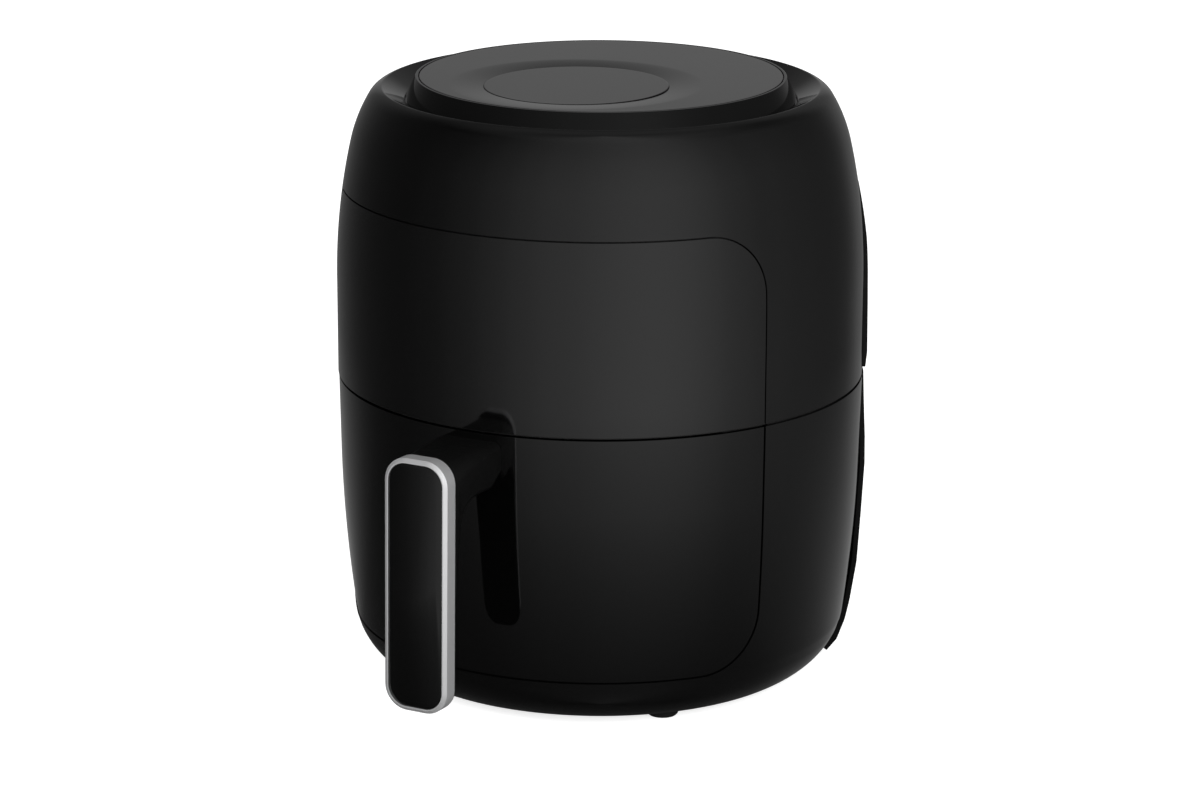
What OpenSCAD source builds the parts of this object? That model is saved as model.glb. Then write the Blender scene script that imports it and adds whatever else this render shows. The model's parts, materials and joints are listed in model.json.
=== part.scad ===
// Round-bodied air fryer with a front drawer.
// Front faces -Y, +Z is up, the origin is the middle of the footprint on the table.
// Every module draws its piece about the vertical axis of the round body;
// at_axis() then moves that axis back so that the footprint is centred.

/* [Body] */
// Radius of the body at the belt seam
body_r = 140; // [130:1:160]
// Height of the control panel's rim above the table
total_h = 321.3; // [315:0.1:345]
// Height of the belt seam above the table
belt_z = 162.7; // [160:0.1:170]
// Height of the feet under the base
foot_h = 5.5; // [4:0.5:8]
// Wall thickness of the outer housings
wall = 3; // [2.5:0.1:4]
// Angle by which the lower wall narrows just below the belt
taper = 2; // [1:0.5:3]
// Radius of the long curve of the lower wall
barrel_r = 730; // [650:10:800]
// Radius of the curve from the lower wall to the base
heel_r = 40; // [34:1:44]
// Radius of the long curve of the upper wall
brow_r = 328; // [300:1:350]
// Radius of the shoulder above it
shoulder_r = 80; // [70:1:90]
// Radius of the crest beside the moat
crest_r = 15.6; // [12:0.2:18]

/* [Seams] */
// Height of the groove between the lower and the upper housing
belt_gap = 1.4; // [1:0.1:2]
// Gap round the drawer front and the front panel
seam = 0.8; // [0.5:0.1:1.2]
// Angle from straight ahead to the upright seams
seam_az = 65.5; // [62:0.5:67]
// Corner radius of the seams
seam_r = 33; // [26:1:36]
// Height of the front panel's top seam
panel_top = 264; // [255:1:268]
// Height of the drawer front's bottom seam
drawer_bottom = 29.5; // [28:0.5:31]
// How far the drawer front lies behind the lower wall
drawer_step = 0.6; // [0.4:0.1:0.8]
// Free space between pieces that move past each other
slide_gap = 0.3; // [0.3:0.1:0.5]

/* [Top] */
// Inner radius of the top ring's lip
ring_r = 95.9; // [90:0.1:98]
// Width of the flat lip
lip_w = 1.5; // [1:0.1:3]
// Height of the ring's glossy cone
cone_h = 10.6; // [9:0.1:12]
// Width of the cone, seen from above
cone_w = 4.2; // [3:0.1:6]
// Depth of the crest below the lip
crest_drop = 3.8; // [3:0.1:5]
// Gap between the top ring and the control panel
panel_gap = 0.5; // [0.3:0.1:0.8]
// Thickness of the control panel
panel_t = 3; // [2.8:0.1:4]
// Radius of the round display window
window_r = 48; // [42:1:52]
// Distance from the body axis forward to the window's centre
window_shift = 27; // [22:1:28]
// Depth of the soft dish around the window
dish_depth = 1.3; // [0.8:0.1:1.6]
// Radius of the dish's rim
dish_r = 64; // [60:1:66]

/* [Drawer] */
// Thickness of the drawer front's skin
skin_t = 2.1; // [1.8:0.1:2.1]
// Distance from the widest part of the body in to the pan's rim
pan_inset = 30; // [29:1:40]
// Height of the pan's underside
pan_z = 36; // [36:0.5:42]
// Depth of the pan
pan_h = 121; // [110:1:121]
// Thickness of the pan's sheet
pan_t = 1.5; // [1.2:0.1:2]
// Width of the pan's rim
rim_w = 3; // [2.5:0.5:4]
// Width of the pan's floor radius
pan_corner = 14; // [10:1:18]
// Distance the pan's wall leans in over its height
pan_draft = 4; // [2:1:6]
// Thickness of the crisper tray
tray_t = 2; // [1.5:0.1:3]
// Height of the tray above the pan's floor
tray_lift = 14; // [12:1:20]
// Gap between the tray and the pan's wall
tray_gap = 3; // [2.5:0.5:5]
// Radius of the holes in the tray
tray_hole_r = 3.2; // [2.5:0.1:3.6]

/* [Handle] */
// Width of the handle
handle_w = 37.2; // [32:0.2:42]
// Height of the handle's top edge
handle_top = 162.9; // [160:0.1:166]
// Length of the handle
handle_l = 134.3; // [120:0.1:136]
// Corner radius of the handle
handle_corner = 12.5; // [10:0.5:15]
// Distance from the widest part of the body out to the handle's face, at the top
handle_out = 54.3; // [50:0.1:65]
// Angle by which the handle leans out at the bottom
handle_lean = 1.1; // [0:0.1:2]
// Width of the satin frame's front edge
frame_w = 2.7; // [2:0.1:4]
// Depth of the satin frame
frame_d = 9; // [7:0.5:11]
// How far the glossy insert lies behind the frame's edge
insert_step = 0.5; // [0.2:0.1:1]
// Thickness of the glossy insert
insert_t = 2; // [1.5:0.1:2.5]
// Thickness of the grip behind the frame, below the neck
grip_t = 5; // [4:0.5:6]
// Depth of the neck's top below the handle's top edge
neck_drop = 4.6; // [4:0.2:6]
// Height of the neck
neck_h = 22.6; // [20:0.2:25]
// Radius of the fillet under the neck
neck_fillet = 17; // [14:1:19]

/* [Rear] */
// How far the rear covers stand off the housings
cover_t = 2.6; // [2:0.1:3.5]
// Angle from straight ahead to the rear covers' edges
cover_az = 117.5; // [114:0.5:125]
// Distance from the widest part of the body out to the outlet hood's face
hood_out = 12; // [8:1:16]
// Width of the outlet hood
hood_w = 112; // [100:1:116]
// Height of the outlet hood
hood_h = 56; // [50:1:60]
// Height of the hood's centre
hood_z = 214; // [210:1:218]
// Number of louvres in the outlet
louvres = 7; // [5:1:9]
// Radius of the cord's hole in its inlet
cord_r = 3.2; // [3:0.1:4]
// Height of the cord inlet's centre
cord_z = 58; // [50:1:70]

/* [Cavity] */
// Clearance between the pan's rim and the cavity liner
cavity_gap = 2.5; // [2:0.5:4]
// Thickness of the sheet steel inside
sheet = 1; // [0.8:0.1:1.2]
// Height of the mid frame's web
web_t = 3; // [2.5:0.5:4]
// Share of the space above the mid frame that the hot chamber takes
chamber_share = 0.401; // [0.39:0.001:0.41]
// Radius of the heating element's tube
tube_r = 3.25; // [3:0.05:3.5]
// Distance from the middle at which the element's arms first cross from side to side
element_in = 24; // [22:1:26]
// Distance from the element's outer turn to the hot chamber's wall
element_edge = 28.5; // [27:0.5:30]
// Radius of the guard's wires
wire_r = 1.2; // [1:0.1:1.5]

/* [Fan] */
// Radius of the convection fan
fan_r = 70; // [60:1:71]
// Gap between the convection fan and the hot chamber's roof
roof_gap = 5.5; // [5:0.5:7]
// Number of blades on each fan
blades = 9; // [7:1:12]
// Radius of the motor shaft
shaft_r = 4; // [3:0.5:5]
// Radial clearance of the shaft in the motor's bearings
bearing_gap = 0.05; // [0.03:0.01:0.08]
// Radius of the motor
motor_r = 30; // [26:1:34]
// Radius of the cooling fan
cooler_r = 52; // [44:1:54]

/* [Base] */
// Radius of the feet
foot_r = 8.3; // [7:0.1:9]
// Distance from the edge of the base in to the feet's middles
foot_inset = 11.7; // [11:0.1:16]
// Angle from straight ahead to the front feet
foot_az = 48; // [40:1:50]
// Radius of the screws' shanks
screw_r = 1.6; // [1.5:0.1:2]
// Radius of the screws' heads
head_r = 3.2; // [3:0.1:3.6]

/* [Hidden] */
$fn = 120;
eps = 0.01;

// --- outer profile: a chain of arcs, each tangent to the next --------------------------------
heel_start = 8;    // slope of the wall where the heel begins
heel_end = 62;     // slope of the wall where it meets the base
barrel_h = barrel_r * (sin(heel_start) - sin(taper));
heel_h = heel_r * (sin(heel_end) - sin(heel_start));
cone_z = foot_h + heel_h + barrel_h;
cone_r = body_r - (belt_z - cone_z) * tan(taper);
barrel_c = [cone_r - barrel_r * cos(taper), cone_z + barrel_r * sin(taper)];
heel_c = barrel_c + (barrel_r - heel_r) * [cos(heel_start), -sin(heel_start)];

brow_end = 12.7;      // slope where the brow meets the shoulder
shoulder_end = 31.3;  // slope where the shoulder meets the crest
crest_end = 70;       // slope at the crest's edge
upper_r = body_r - 0.2;
crest_z = total_h - crest_drop;
brow_z = crest_z - brow_r * sin(brow_end) - shoulder_r * (sin(shoulder_end) - sin(brow_end))
    - crest_r * (sin(crest_end) - sin(shoulder_end));
brow_c = [upper_r - brow_r, brow_z];
shoulder_c = brow_c + (brow_r - shoulder_r) * [cos(brow_end), sin(brow_end)];
crest_c = shoulder_c + (shoulder_r - crest_r) * [cos(shoulder_end), sin(shoulder_end)];

function turn(a) = [cos(a), sin(a)];
function arc(c, r, a0, a1, n) = [for (i = [0:n]) c + r * turn(a0 + (a1 - a0) * i / n)];
function flip(points) = [for (i = [len(points) - 1:-1:0]) points[i]];

// Lower wall from the belt down, set in by d
function lower_curve(d) = concat(
    [[body_r - d, belt_z]],
    arc(barrel_c, barrel_r - d, -taper, -heel_start, 6),
    arc(heel_c, heel_r - d, -heel_start - 5, -heel_end, 12));
// Upper wall from the belt up, set in by d
function upper_curve(d) = concat(
    [[upper_r - d, belt_z]],
    arc(brow_c, brow_r - d, 0, brow_end, 6),
    arc(shoulder_c, shoulder_r - d, brow_end + 3, shoulder_end, 5),
    arc(crest_c, crest_r - d, shoulder_end + 6, crest_end, 6));
// Radius of the lower wall at height z above the heel, set in by d
function barrel_at(z, d = 0) = barrel_c[0] + sqrt(pow(barrel_r - d, 2) - pow(barrel_c[1] - z, 2));

module lower_band(d0, d1) polygon(concat(lower_curve(d0), flip(lower_curve(d1))));
module upper_band(d0, d1) polygon(concat(upper_curve(d0), flip(upper_curve(d1))));
module lower_fill(d) polygon(concat([[0, belt_z]], lower_curve(d), [[0, foot_h]]));
module rows(z0, z1) translate([0, z0]) square([2 * body_r, z1 - z0]);

// --- frame and shared shapes ------------------------------------------------------------------
lean_out = handle_l * sin(handle_lean);
handle_reach = body_r + handle_out;  // distances from the body axis
hood_reach = body_r + hood_out;
pan_r = body_r - pan_inset;
liner_x = pan_r + cavity_gap;        // inner half width of the cavity
chamber_r = pan_r - 2;               // inner radius of the hot chamber
chamber_foot = 12;                   // width of its flange
gland_r = 9;                         // radius of the cord inlet
axis_y = (handle_reach + lean_out - hood_reach) / 2;
far = 3 * body_r;

module at_axis() translate([0, axis_y, 0]) children();
module facing(az) rotate([0, 0, az]) children();     // az from straight ahead
module ring(r0, r1, z0, z1) translate([0, 0, z0]) difference() {
    cylinder(r = r1, h = z1 - z0);
    translate([0, 0, -1]) cylinder(r = r0, h = z1 - z0 + 2);
}
module disc(r, z0, z1) translate([0, 0, z0]) cylinder(r = r, h = z1 - z0);
module at_polar(r, az) rotate([0, 0, az]) translate([0, -r, 0]) children();
module round_rect(w, h, r) {
    square([w - 2 * r, h], center = true);
    square([w, h - 2 * r], center = true);
    for (x = [-1, 1], y = [-1, 1]) translate([x * (w / 2 - r), y * (h / 2 - r)]) circle(r = r, $fn = 64);
}
module four_ways(r, az) for (a = [az, -az, 180 - az, 180 + az]) at_polar(r, a) children();

// Wedge that opens by az to either side of straight ahead (-Y)
module wedge(az, z0, z1) translate([0, 0, z0]) linear_extrude(z1 - z0)
    polygon([[0, 0], for (i = [-6:6]) far * [sin(az * i / 6), -cos(az * i / 6)]]);

// Solid that cuts the rounded window out of a wall: its upright sides meet the body at seam_az,
// its level edge is at z_edge, and it is open at the belt. grow widens it on every side.
module window_solid(z_edge, grow) {
    up = z_edge > belt_z ? 1 : -1;
    r_corner = seam_r + grow;
    z_corner = z_edge - up * seam_r;
    z_open = belt_z - up;
    corner_az = seam_az - asin(seam_r / body_r);
    wedge(corner_az, min(z_edge + up * grow, z_open), max(z_edge + up * grow, z_open));
    for (a = [-corner_az, corner_az]) facing(a) rotate([90, 0, 0]) linear_extrude(far) {
        translate([0, z_corner]) circle(r = r_corner);
        translate([-r_corner, min(z_corner, z_open)]) square([2 * r_corner, abs(z_corner - z_open)]);
    }
}

// Screw with its head below z = 0, a cross recess in it, and its shank above
head_h = 1.6;
screw_gap = 0.15;                    // clearance round a screw's shank
module screw(length) difference() {
    union() {
        translate([0, 0, -head_h]) cylinder(r = head_r, h = head_h, $fn = 32);
        translate([0, 0, -eps]) cylinder(r = screw_r, h = length + eps, $fn = 32);
    }
    for (a = [0, 90]) rotate([0, 0, a]) translate([-head_r / 2, -head_r / 8, -head_h - eps])
        cube([head_r, head_r / 4, head_h / 2 + eps]);
}
module screw_hole(length) cylinder(r = screw_r + screw_gap, h = length, $fn = 32);

// --- base -------------------------------------------------------------------------------------
base_t = 2.5;                        // thickness of the base plate
base_edge = heel_c[0] + heel_r * cos(heel_end);
base_r = base_edge - 3.2;            // radius of the base plate's lower step
step_r = base_r + 1.4;               // radius of its upper rim
fit = 0.3;                           // gap between pieces that drop into one another
base_top = foot_h + 2 * base_t;
floor_z = pan_z - 5;                 // underside of the cavity floor
post_at = 62;                        // distance of the floor's posts from the axis, in x and in y
post_r = 5;
base_boss_r = 4.5;
base_boss_at = base_r - 8;           // distance of the housing's screw bosses from the axis
base_boss_h = 12;
boss_az = 20;                        // the bosses stand this far from straight ahead or behind
rib_t = 2;                           // thickness of the ribs that tie the bosses to the wall
slot_w = 4;                          // the base plate's air slots
slot_l = 36;
slot_pitch = 9;
slots = 11;                          // in each of two rows
slot_at = 30;                        // distance of the rows' middles from the axis
foot_bevel = 1;
foot_reach = base_edge - foot_inset;

module base_plate() color("dimgray") at_axis() difference() {
    union() {
        rotate_extrude() polygon([[0, foot_h], [base_r, foot_h], [base_r, foot_h + base_t],
                                  [step_r, foot_h + base_t], [step_r, base_top], [0, base_top]]);
        for (x = [-1, 1], y = [-1, 1]) translate([x * post_at, y * post_at, base_top - eps])
            cylinder(r = post_r, h = floor_z - base_top + eps, $fn = 32);
    }
    for (i = [0:slots - 1], y = [-1, 1])
        translate([(i - (slots - 1) / 2) * slot_pitch - slot_w / 2, y * slot_at - slot_l / 2, foot_h - 1])
            cube([slot_w, slot_l, 2 * base_t + 2]);
    four_ways(base_boss_at, boss_az) translate([0, 0, foot_h - 1]) {
        cylinder(r = head_r + fit, h = 1 + base_t, $fn = 32);
        cylinder(r = screw_r + screw_gap, h = 2 * base_t + 2, $fn = 32);
    }
}

module feet() color("black") at_axis() four_ways(foot_reach, foot_az) {
    translate([0, 0, foot_bevel]) cylinder(r = foot_r, h = foot_h - foot_bevel, $fn = 48);
    cylinder(r1 = foot_r - foot_bevel, r2 = foot_r, h = foot_bevel + eps, $fn = 48);
}

module base_screws() color("silver") at_axis() four_ways(base_boss_at, boss_az)
    translate([0, 0, foot_h + base_t]) screw(base_t + base_boss_h - 2);

// --- outer housings ---------------------------------------------------------------------------
belt_low = belt_z - belt_gap / 2;
belt_high = belt_z + belt_gap / 2;
flange_in = 10;                      // width of the flange that carries the top ring
flange_t = 2.5;
flange_over = 5;                     // how far its underside runs on below the moat's wall
root_a = 12;                         // angle over which it thickens into the crest
ring_out = ring_r + lip_w + cone_w;
ring_base_h = 2.2;                   // height of the top ring's plain rim below its cone
ring_foot = total_h - cone_h - ring_base_h;
moat_gap = 0.6;                      // gap between the top ring and the moat's wall
flange_r = ring_out - flange_in;
duct_w = 64;                         // outside width of the exhaust duct
duct_h = 24;
duct_z = hood_z - duct_h / 2;
duct_start = 60;                     // the duct's holes are cut from here backwards

module duct_hole(grow, y0, y1) translate([-duct_w / 2 - grow, y0, duct_z - grow])
    cube([duct_w + 2 * grow, y1 - y0, duct_h + 2 * grow]);
// Round hole through the back for the cord inlet
module gland_hole() translate([0, 0, cord_z]) rotate([-90, 0, 0])
    cylinder(r = gland_r + fit, h = far, $fn = 48);

module lower_housing() color("black") at_axis() difference() {
    union() {
        rotate_extrude() {
            intersection() {
                lower_band(0, wall);
                rows(foot_h, belt_low);
            }
            polygon([[base_r + fit, foot_h], [base_edge, foot_h],
                     [base_edge + 1, foot_h + base_t], [base_r + fit, foot_h + base_t]]);
        }
        intersection() {
            rotate_extrude() lower_fill(wall / 2);
            four_ways(base_boss_at, boss_az) translate([0, 0, base_top]) {
                cylinder(r = base_boss_r, h = base_boss_h, $fn = 32);
                translate([-rib_t / 2, -heel_r, 0]) cube([rib_t, heel_r, base_boss_h]);
            }
        }
    }
    window_solid(drawer_bottom, 0);
    four_ways(base_boss_at, boss_az) translate([0, 0, base_top - 1]) screw_hole(base_boss_h - 1);
    gland_hole();
}

module upper_housing() color("black") at_axis() difference() {
    rotate_extrude() {
        intersection() {
            upper_band(0, wall);
            rows(belt_high, total_h);
        }
        polygon([crest_c + crest_r * turn(crest_end), [ring_out + moat_gap, ring_foot + ring_base_h],
                 [ring_out + moat_gap, ring_foot], [flange_r, ring_foot],
                 [flange_r, ring_foot - flange_t], [ring_out + flange_over, ring_foot - flange_t],
                 crest_c + (crest_r - wall) * turn(crest_end - 2 * root_a),
                 crest_c + (crest_r - wall / 2) * turn(crest_end - root_a)]);
    }
    window_solid(panel_top, 0);
    duct_hole(fit, duct_start, far);
}

lip_reach = 5;                       // the panel's lip reaches this far behind the housing's wall
lip_t = 2.4;                         // thickness of the lip

module front_panel() color("black") at_axis() intersection() {
    union() {
        intersection() {
            rotate_extrude() intersection() {
                upper_band(0, wall);
                rows(belt_high, panel_top);
            }
            window_solid(panel_top, -seam);
        }
        intersection() {
            rotate_extrude() intersection() {
                upper_band(wall, wall + lip_t);
                rows(belt_high + web_t, panel_top + lip_reach);
            }
            window_solid(panel_top, lip_reach);
        }
    }
    wedge(89, belt_high, total_h);
}

bezel_t = 2.2;
bezel_lift = 1.5;                    // its opening starts this far above the cavity floor
bezel_corner = 18;                   // radius of the opening's lower corners

// Frame behind the drawer front's edge; the pan passes through it
module drawer_bezel() color("dimgray") at_axis() difference() {
    intersection() {
        rotate_extrude() intersection() {
            lower_band(wall, wall + bezel_t);
            rows(drawer_bottom - lip_reach, belt_low);
        }
        window_solid(drawer_bottom, lip_reach);
    }
    translate([0, 0, floor_z + sheet + bezel_lift + far / 2]) rotate([90, 0, 0]) linear_extrude(far)
        round_rect(2 * liner_x, far, bezel_corner);
}

// Ring that both housings seat on: its edge is the dark line of the belt
mid_r = body_r - 1.6;
web_z = belt_z - 0.3;                // underside of the web
web_top = belt_high + web_t;
web_in = pan_r + 1;
plunger_r = 2;                       // of the drawer switch

module mid_frame() color("dimgray") at_axis() difference() {
    union() {
        ring(web_in, mid_r - wall, web_z, web_top);
        ring(mid_r - wall - 1, mid_r, web_z, belt_high);
        difference() {
            ring(mid_r - wall - 1, mid_r, belt_low, belt_high);
            wedge(seam_az + 1, 0, far);
        }
    }
    switch_place() translate([0, 0, -far]) cylinder(r = plunger_r + 0.4, h = 2 * far, $fn = 32);
}

// --- top --------------------------------------------------------------------------------------
ledge_r = ring_r - 3.4;               // inner edge of the ledge that the panel lies on
panel_under = total_h - panel_t;
lip_bevel = 0.3;

module top_ring() color("black") at_axis() rotate_extrude()
    polygon([[ledge_r, ring_foot], [ring_out, ring_foot], [ring_out, total_h - cone_h],
             [ring_r + lip_w, total_h - lip_bevel], [ring_r + lip_w - lip_bevel, total_h], [ring_r, total_h],
             [ring_r, panel_under], [ledge_r, panel_under]]);

window_bevel = 0.3;
window_top = total_h - dish_depth + window_bevel;
window_t = 2;
window_gap = 0.35;
window_ledge = 3;                    // width and thickness of the ledge that the window lies on
seat_z = window_top - window_t;
dish_flat = window_r + window_ledge; // the dish is level out to this radius
dish_steps = 12;

// Depth of the dish: level in the middle, then an S-curve up to its rim
function dish_z(t) = -dish_depth * (1 + cos(180 * t)) / 2;
dish_rise = [for (i = [0:dish_steps])
    [dish_flat + (dish_r - dish_flat) * i / dish_steps, dish_z(i / dish_steps)]];

module control_panel() color("#1c1c1e") at_axis() difference() {
    union() {
        disc(ring_r - panel_gap, panel_under, total_h);
        translate([0, -window_shift, 0]) disc(dish_flat, seat_z - window_ledge + 1, panel_under + eps);
    }
    translate([0, -window_shift, total_h]) rotate_extrude()
        polygon(concat([[0, 1], [0, -dish_depth]], dish_rise, [[dish_r, 1]]));
    translate([0, -window_shift, 0]) {
        disc(window_r + window_gap, seat_z, total_h + 1);
        disc(window_r - window_ledge, seat_z - window_ledge, total_h + 1);
    }
}

module display_window() color("#232326") at_axis() translate([0, -window_shift, 0]) {
    disc(window_r, seat_z, window_top - window_bevel);
    translate([0, 0, window_top - window_bevel - eps])
        cylinder(r1 = window_r, r2 = window_r - window_bevel, h = window_bevel + eps);
}

// --- rear -------------------------------------------------------------------------------------
upper_cover_top = 281;
cover_bevel = 18;                    // height over which the upper cover's edges thin out
hood_wall = 3;
hood_corner = 8;

module upper_fill(d) polygon(concat([[0, belt_z]], upper_curve(d), [[0, crest_z]]));
// Part of the round body behind the covers' edges
module behind() difference() {
    disc(far, -1, far);
    wedge(cover_az, -2, far + 2);
}
// Hood's outline, set in by d, pushed back from the axis to y
module hood(d, y) translate([0, 0, hood_z]) rotate([-90, 0, 0]) linear_extrude(y)
    round_rect(hood_w - 2 * d, hood_h - 2 * d, hood_corner - d);

grille_inset = 1.5;                  // the grille lies this far inside the hood's face
grille_t = 6;

module rear_cover_upper() color("#101010") at_axis() difference() {
    union() {
        intersection() {
            rotate_extrude() polygon([
                [0, belt_high], [upper_r, belt_high],
                [upper_r + cover_t, belt_high + cover_bevel],
                [upper_r + cover_t, upper_cover_top - 2 * cover_bevel],
                [upper_r - 5, upper_cover_top], [0, upper_cover_top]]);
            behind();
        }
        hood(0, hood_reach);
    }
    rotate_extrude() upper_fill(0);
    hood(hood_wall, far);
}

// Louvred plate inside the hood, with a frame that fills the hood's opening
module outlet_grille() color("#101010") at_axis() {
    inner_w = hood_w - 2 * hood_wall;
    inner_h = hood_h - 2 * hood_wall;
    border = 3;                      // width of the plate's frame
    fin_t = 1.5;
    fin_tilt = 30;
    pitch = (inner_h - 2 * border) / louvres;
    face = hood_reach - grille_inset;
    difference() {
        translate([0, 0, hood_z]) rotate([-90, 0, 0]) translate([0, 0, face - grille_t])
            linear_extrude(grille_t) round_rect(inner_w, inner_h, hood_corner - hood_wall);
        translate([-inner_w / 2 + border, 0, hood_z - inner_h / 2 + border])
            cube([inner_w - 2 * border, far, inner_h - 2 * border]);
    }
    for (i = [0:louvres - 1])
        translate([0, face - grille_t / 2, hood_z - inner_h / 2 + border + pitch * (i + 0.5)])
            rotate([-fin_tilt, 0, 0]) cube([inner_w - 2 * border + 1, grille_t - 1, fin_t], center = true);
    for (x = [-1, 0, 1]) translate([x * inner_w / 4 - 1, face - grille_t, hood_z - inner_h / 2 + border - 1])
        cube([2, 2, inner_h - 2 * border + 2]);
}

module exhaust_duct() color("silver") at_axis() difference() {
    intersection() {
        duct_hole(0, 0, far);
        union() {
            rotate_extrude() upper_fill(-cover_t);
            duct_hole(0, body_r - 20, hood_reach - grille_inset - grille_t);
        }
    }
    duct_hole(-sheet, 0, far);
    disc(chamber_r + sheet, 0, far);
}

// Outline of the lower rear cover: upright at the belt, curving in to a tight lower edge
rear_skirt = 3.2;                    // its lowest point
skirt_out = 0.8;                     // how far it stands proud at the belt
skirt = [670, 229, 5];               // radii of its three arcs, from the top down
skirt_a = [0, 5.4, 19.5, 90];        // slopes where they begin and end
function skirt_drop(k) = skirt[k] * (sin(skirt_a[k + 1]) - sin(skirt_a[k]));
skirt_c0 = [body_r + skirt_out - skirt[0], rear_skirt + skirt_drop(0) + skirt_drop(1) + skirt_drop(2)];
skirt_c1 = skirt_c0 + (skirt[0] - skirt[1]) * turn(-skirt_a[1]);
skirt_c2 = skirt_c1 + (skirt[1] - skirt[2]) * turn(-skirt_a[2]);
skirt_curve = concat([[body_r + skirt_out, belt_low]],
    arc(skirt_c0, skirt[0], 0, -skirt_a[1], 4),
    arc(skirt_c1, skirt[1], -skirt_a[1] - 3, -skirt_a[2], 4),
    arc(skirt_c2, skirt[2], -skirt_a[2] - 15, -90, 5));

module rear_cover_lower() color("#101010") at_axis() difference() {
    intersection() {
        rotate_extrude() difference() {
            polygon(concat([[0, belt_low]], skirt_curve, [[0, rear_skirt]]));
            lower_fill(0);
            square([base_edge - 0.4, foot_h + 1]);
        }
        behind();
    }
    gland_hole();
}

// Gland with a bevelled nose outside and a flange inside the wall
gland_in = body_r - 14;              // where it starts inside, and where its nose ends outside
gland_out = body_r + 8;
nose_h = 4;
nose_taper = 2;

module cord_inlet() color("#181818") at_axis() translate([0, 0, cord_z]) rotate([-90, 0, 0])
    difference() {
        union() {
            translate([0, 0, gland_in + 2])
                cylinder(r = gland_r, h = gland_out - nose_h - gland_in - 2, $fn = 48);
            translate([0, 0, gland_out - nose_h - eps])
                cylinder(r1 = gland_r, r2 = gland_r - nose_taper, h = nose_h, $fn = 48);
            intersection() {
                translate([0, 0, gland_in]) cylinder(r = gland_r + 3, h = 10, $fn = 48);
                rotate([90, 0, 0]) translate([0, 0, -cord_z]) rotate_extrude() lower_fill(wall + eps);
            }
        }
        translate([0, 0, gland_in - 1]) cylinder(r = cord_r, h = gland_out - gland_in + 2, $fn = 48);
    }

// --- cavity -----------------------------------------------------------------------------------
liner_gap = 0.5;                     // gap between the liner's front edges and the bezel
liner_front = sqrt(pow(barrel_at(floor_z, wall + bezel_t), 2) - pow(liner_x + sheet, 2)) - liner_gap;
rail_x = 60;                         // rails that the pan slides on
rail_w = 6;
rail_ahead = 0.82 * pan_r;           // how far they run ahead of the axis, and behind it
rail_behind = 0.73 * pan_r;

module u_shape(r, front) {
    intersection() {
        circle(r = r);
        translate([-r, 0]) square([2 * r, r]);
    }
    translate([-r, -front]) square([2 * r, front]);
}

module cavity_floor() color("gray") at_axis() {
    intersection() {
        translate([0, 0, floor_z]) linear_extrude(sheet) u_shape(liner_x + sheet, body_r);
        rotate_extrude() lower_fill(wall + bezel_t + fit);
    }
    for (x = [-1, 1]) translate([x * rail_x - rail_w / 2, -rail_ahead, floor_z + sheet - eps])
        cube([rail_w, rail_ahead + rail_behind, pan_z - slide_gap - floor_z - sheet + eps]);
}

module cavity_liner() color("lightgray") at_axis() translate([0, 0, floor_z + sheet])
    linear_extrude(web_z - floor_z - sheet) difference() {
        u_shape(liner_x + sheet, liner_front);
        u_shape(liner_x, liner_front + 1);
    }

// --- hot chamber ------------------------------------------------------------------------------
stack_h = ring_foot - flange_t - web_top;  // from the mid frame up to the housing's flange
chamber_h = chamber_share * stack_h;
chamber_top = web_top + chamber_h;
dome = 18;                           // radius of the chamber's upper edge
element_share = 0.4465;              // share of the chamber's height below the element's middle
guard_share = 0.25;                  // and below its guard
element_z = web_top + element_share * chamber_h;
element_turns = 4;                   // half turns in each of the element's arms
element_pitch = (chamber_r - element_edge - element_in) / (element_turns - 1);
element_bend = 9;                    // radius of the bend from the spiral up to a riser
riser_out = 7;                       // how far the risers stand above the chamber
guard_z = web_top + guard_share * chamber_h;
guard_in = 24;                       // radius of the guard's smallest ring
guard_pitch = 18;
guard_edge = 8;                      // free width beside the guard's largest ring
nut_h = 5;
nut_gap = 4;                         // gap between the element and the nut
cover_plate = 1.2;                   // thickness of the fans' plates
fan_z = element_z + tube_r + nut_gap + nut_h;  // underside of the convection fan
fan_top = chamber_top - roof_gap - cover_plate;
blade_h = fan_top - fan_z;
bush_r = 5.5;
bush_rim = 1.5;                      // how far the bushes' flanges stand out
sensor_r = 3;
sensor_l = 20;

function chamber_curve(d) = concat([[chamber_r + d, web_top]],
    arc([chamber_r - dome, chamber_top - dome], dome + d, 0, 90, 6));

module hot_chamber() color("silver") at_axis() difference() {
    rotate_extrude() {
        polygon(concat([[chamber_r, web_top]], chamber_curve(sheet),
                       [[shaft_r + 3, chamber_top + sheet], [shaft_r + 3, chamber_top]],
                       flip(chamber_curve(0))));
        translate([chamber_r, web_top]) square([chamber_foot, sheet]);
    }
    duct_hole(0, duct_start, far);
    for (p = element_ends) translate([p[0], p[1], 0]) disc(bush_r + 0.1, element_z, far);
    sensor_place() cylinder(r = sensor_r + 0.1, h = 2 * sensor_l, $fn = 32);
}

module wire_ring(r) rotate_extrude() translate([r, 0]) circle(r = wire_r, $fn = 16);

module element_guard() color("silver") at_axis() translate([0, 0, guard_z]) {
    for (r = [guard_in:guard_pitch:chamber_r - guard_edge]) wire_ring(r);
    for (a = [0:60:300]) rotate([0, 0, a]) translate([guard_in - 3, 0, -1.5 * wire_r]) rotate([0, 90, 0])
        cylinder(r = wire_r, h = chamber_r - guard_in + 3, $fn = 16);
}

// The element is a double spiral: two arms of half turns, which meet in an S at the middle.
// Places where an arm crosses the X axis, from the middle outwards
crossings = [for (k = [0:element_turns])
    k == 0 ? 0 : (k % 2 == 0 ? -1 : 1) * (element_in + (k - 1) * element_pitch)];
element_out = abs(crossings[element_turns]);
riser_at = (element_turns % 2 == 0 ? -1 : 1) * [element_out, -element_bend];
element_ends = [riser_at, -riser_at];

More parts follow.
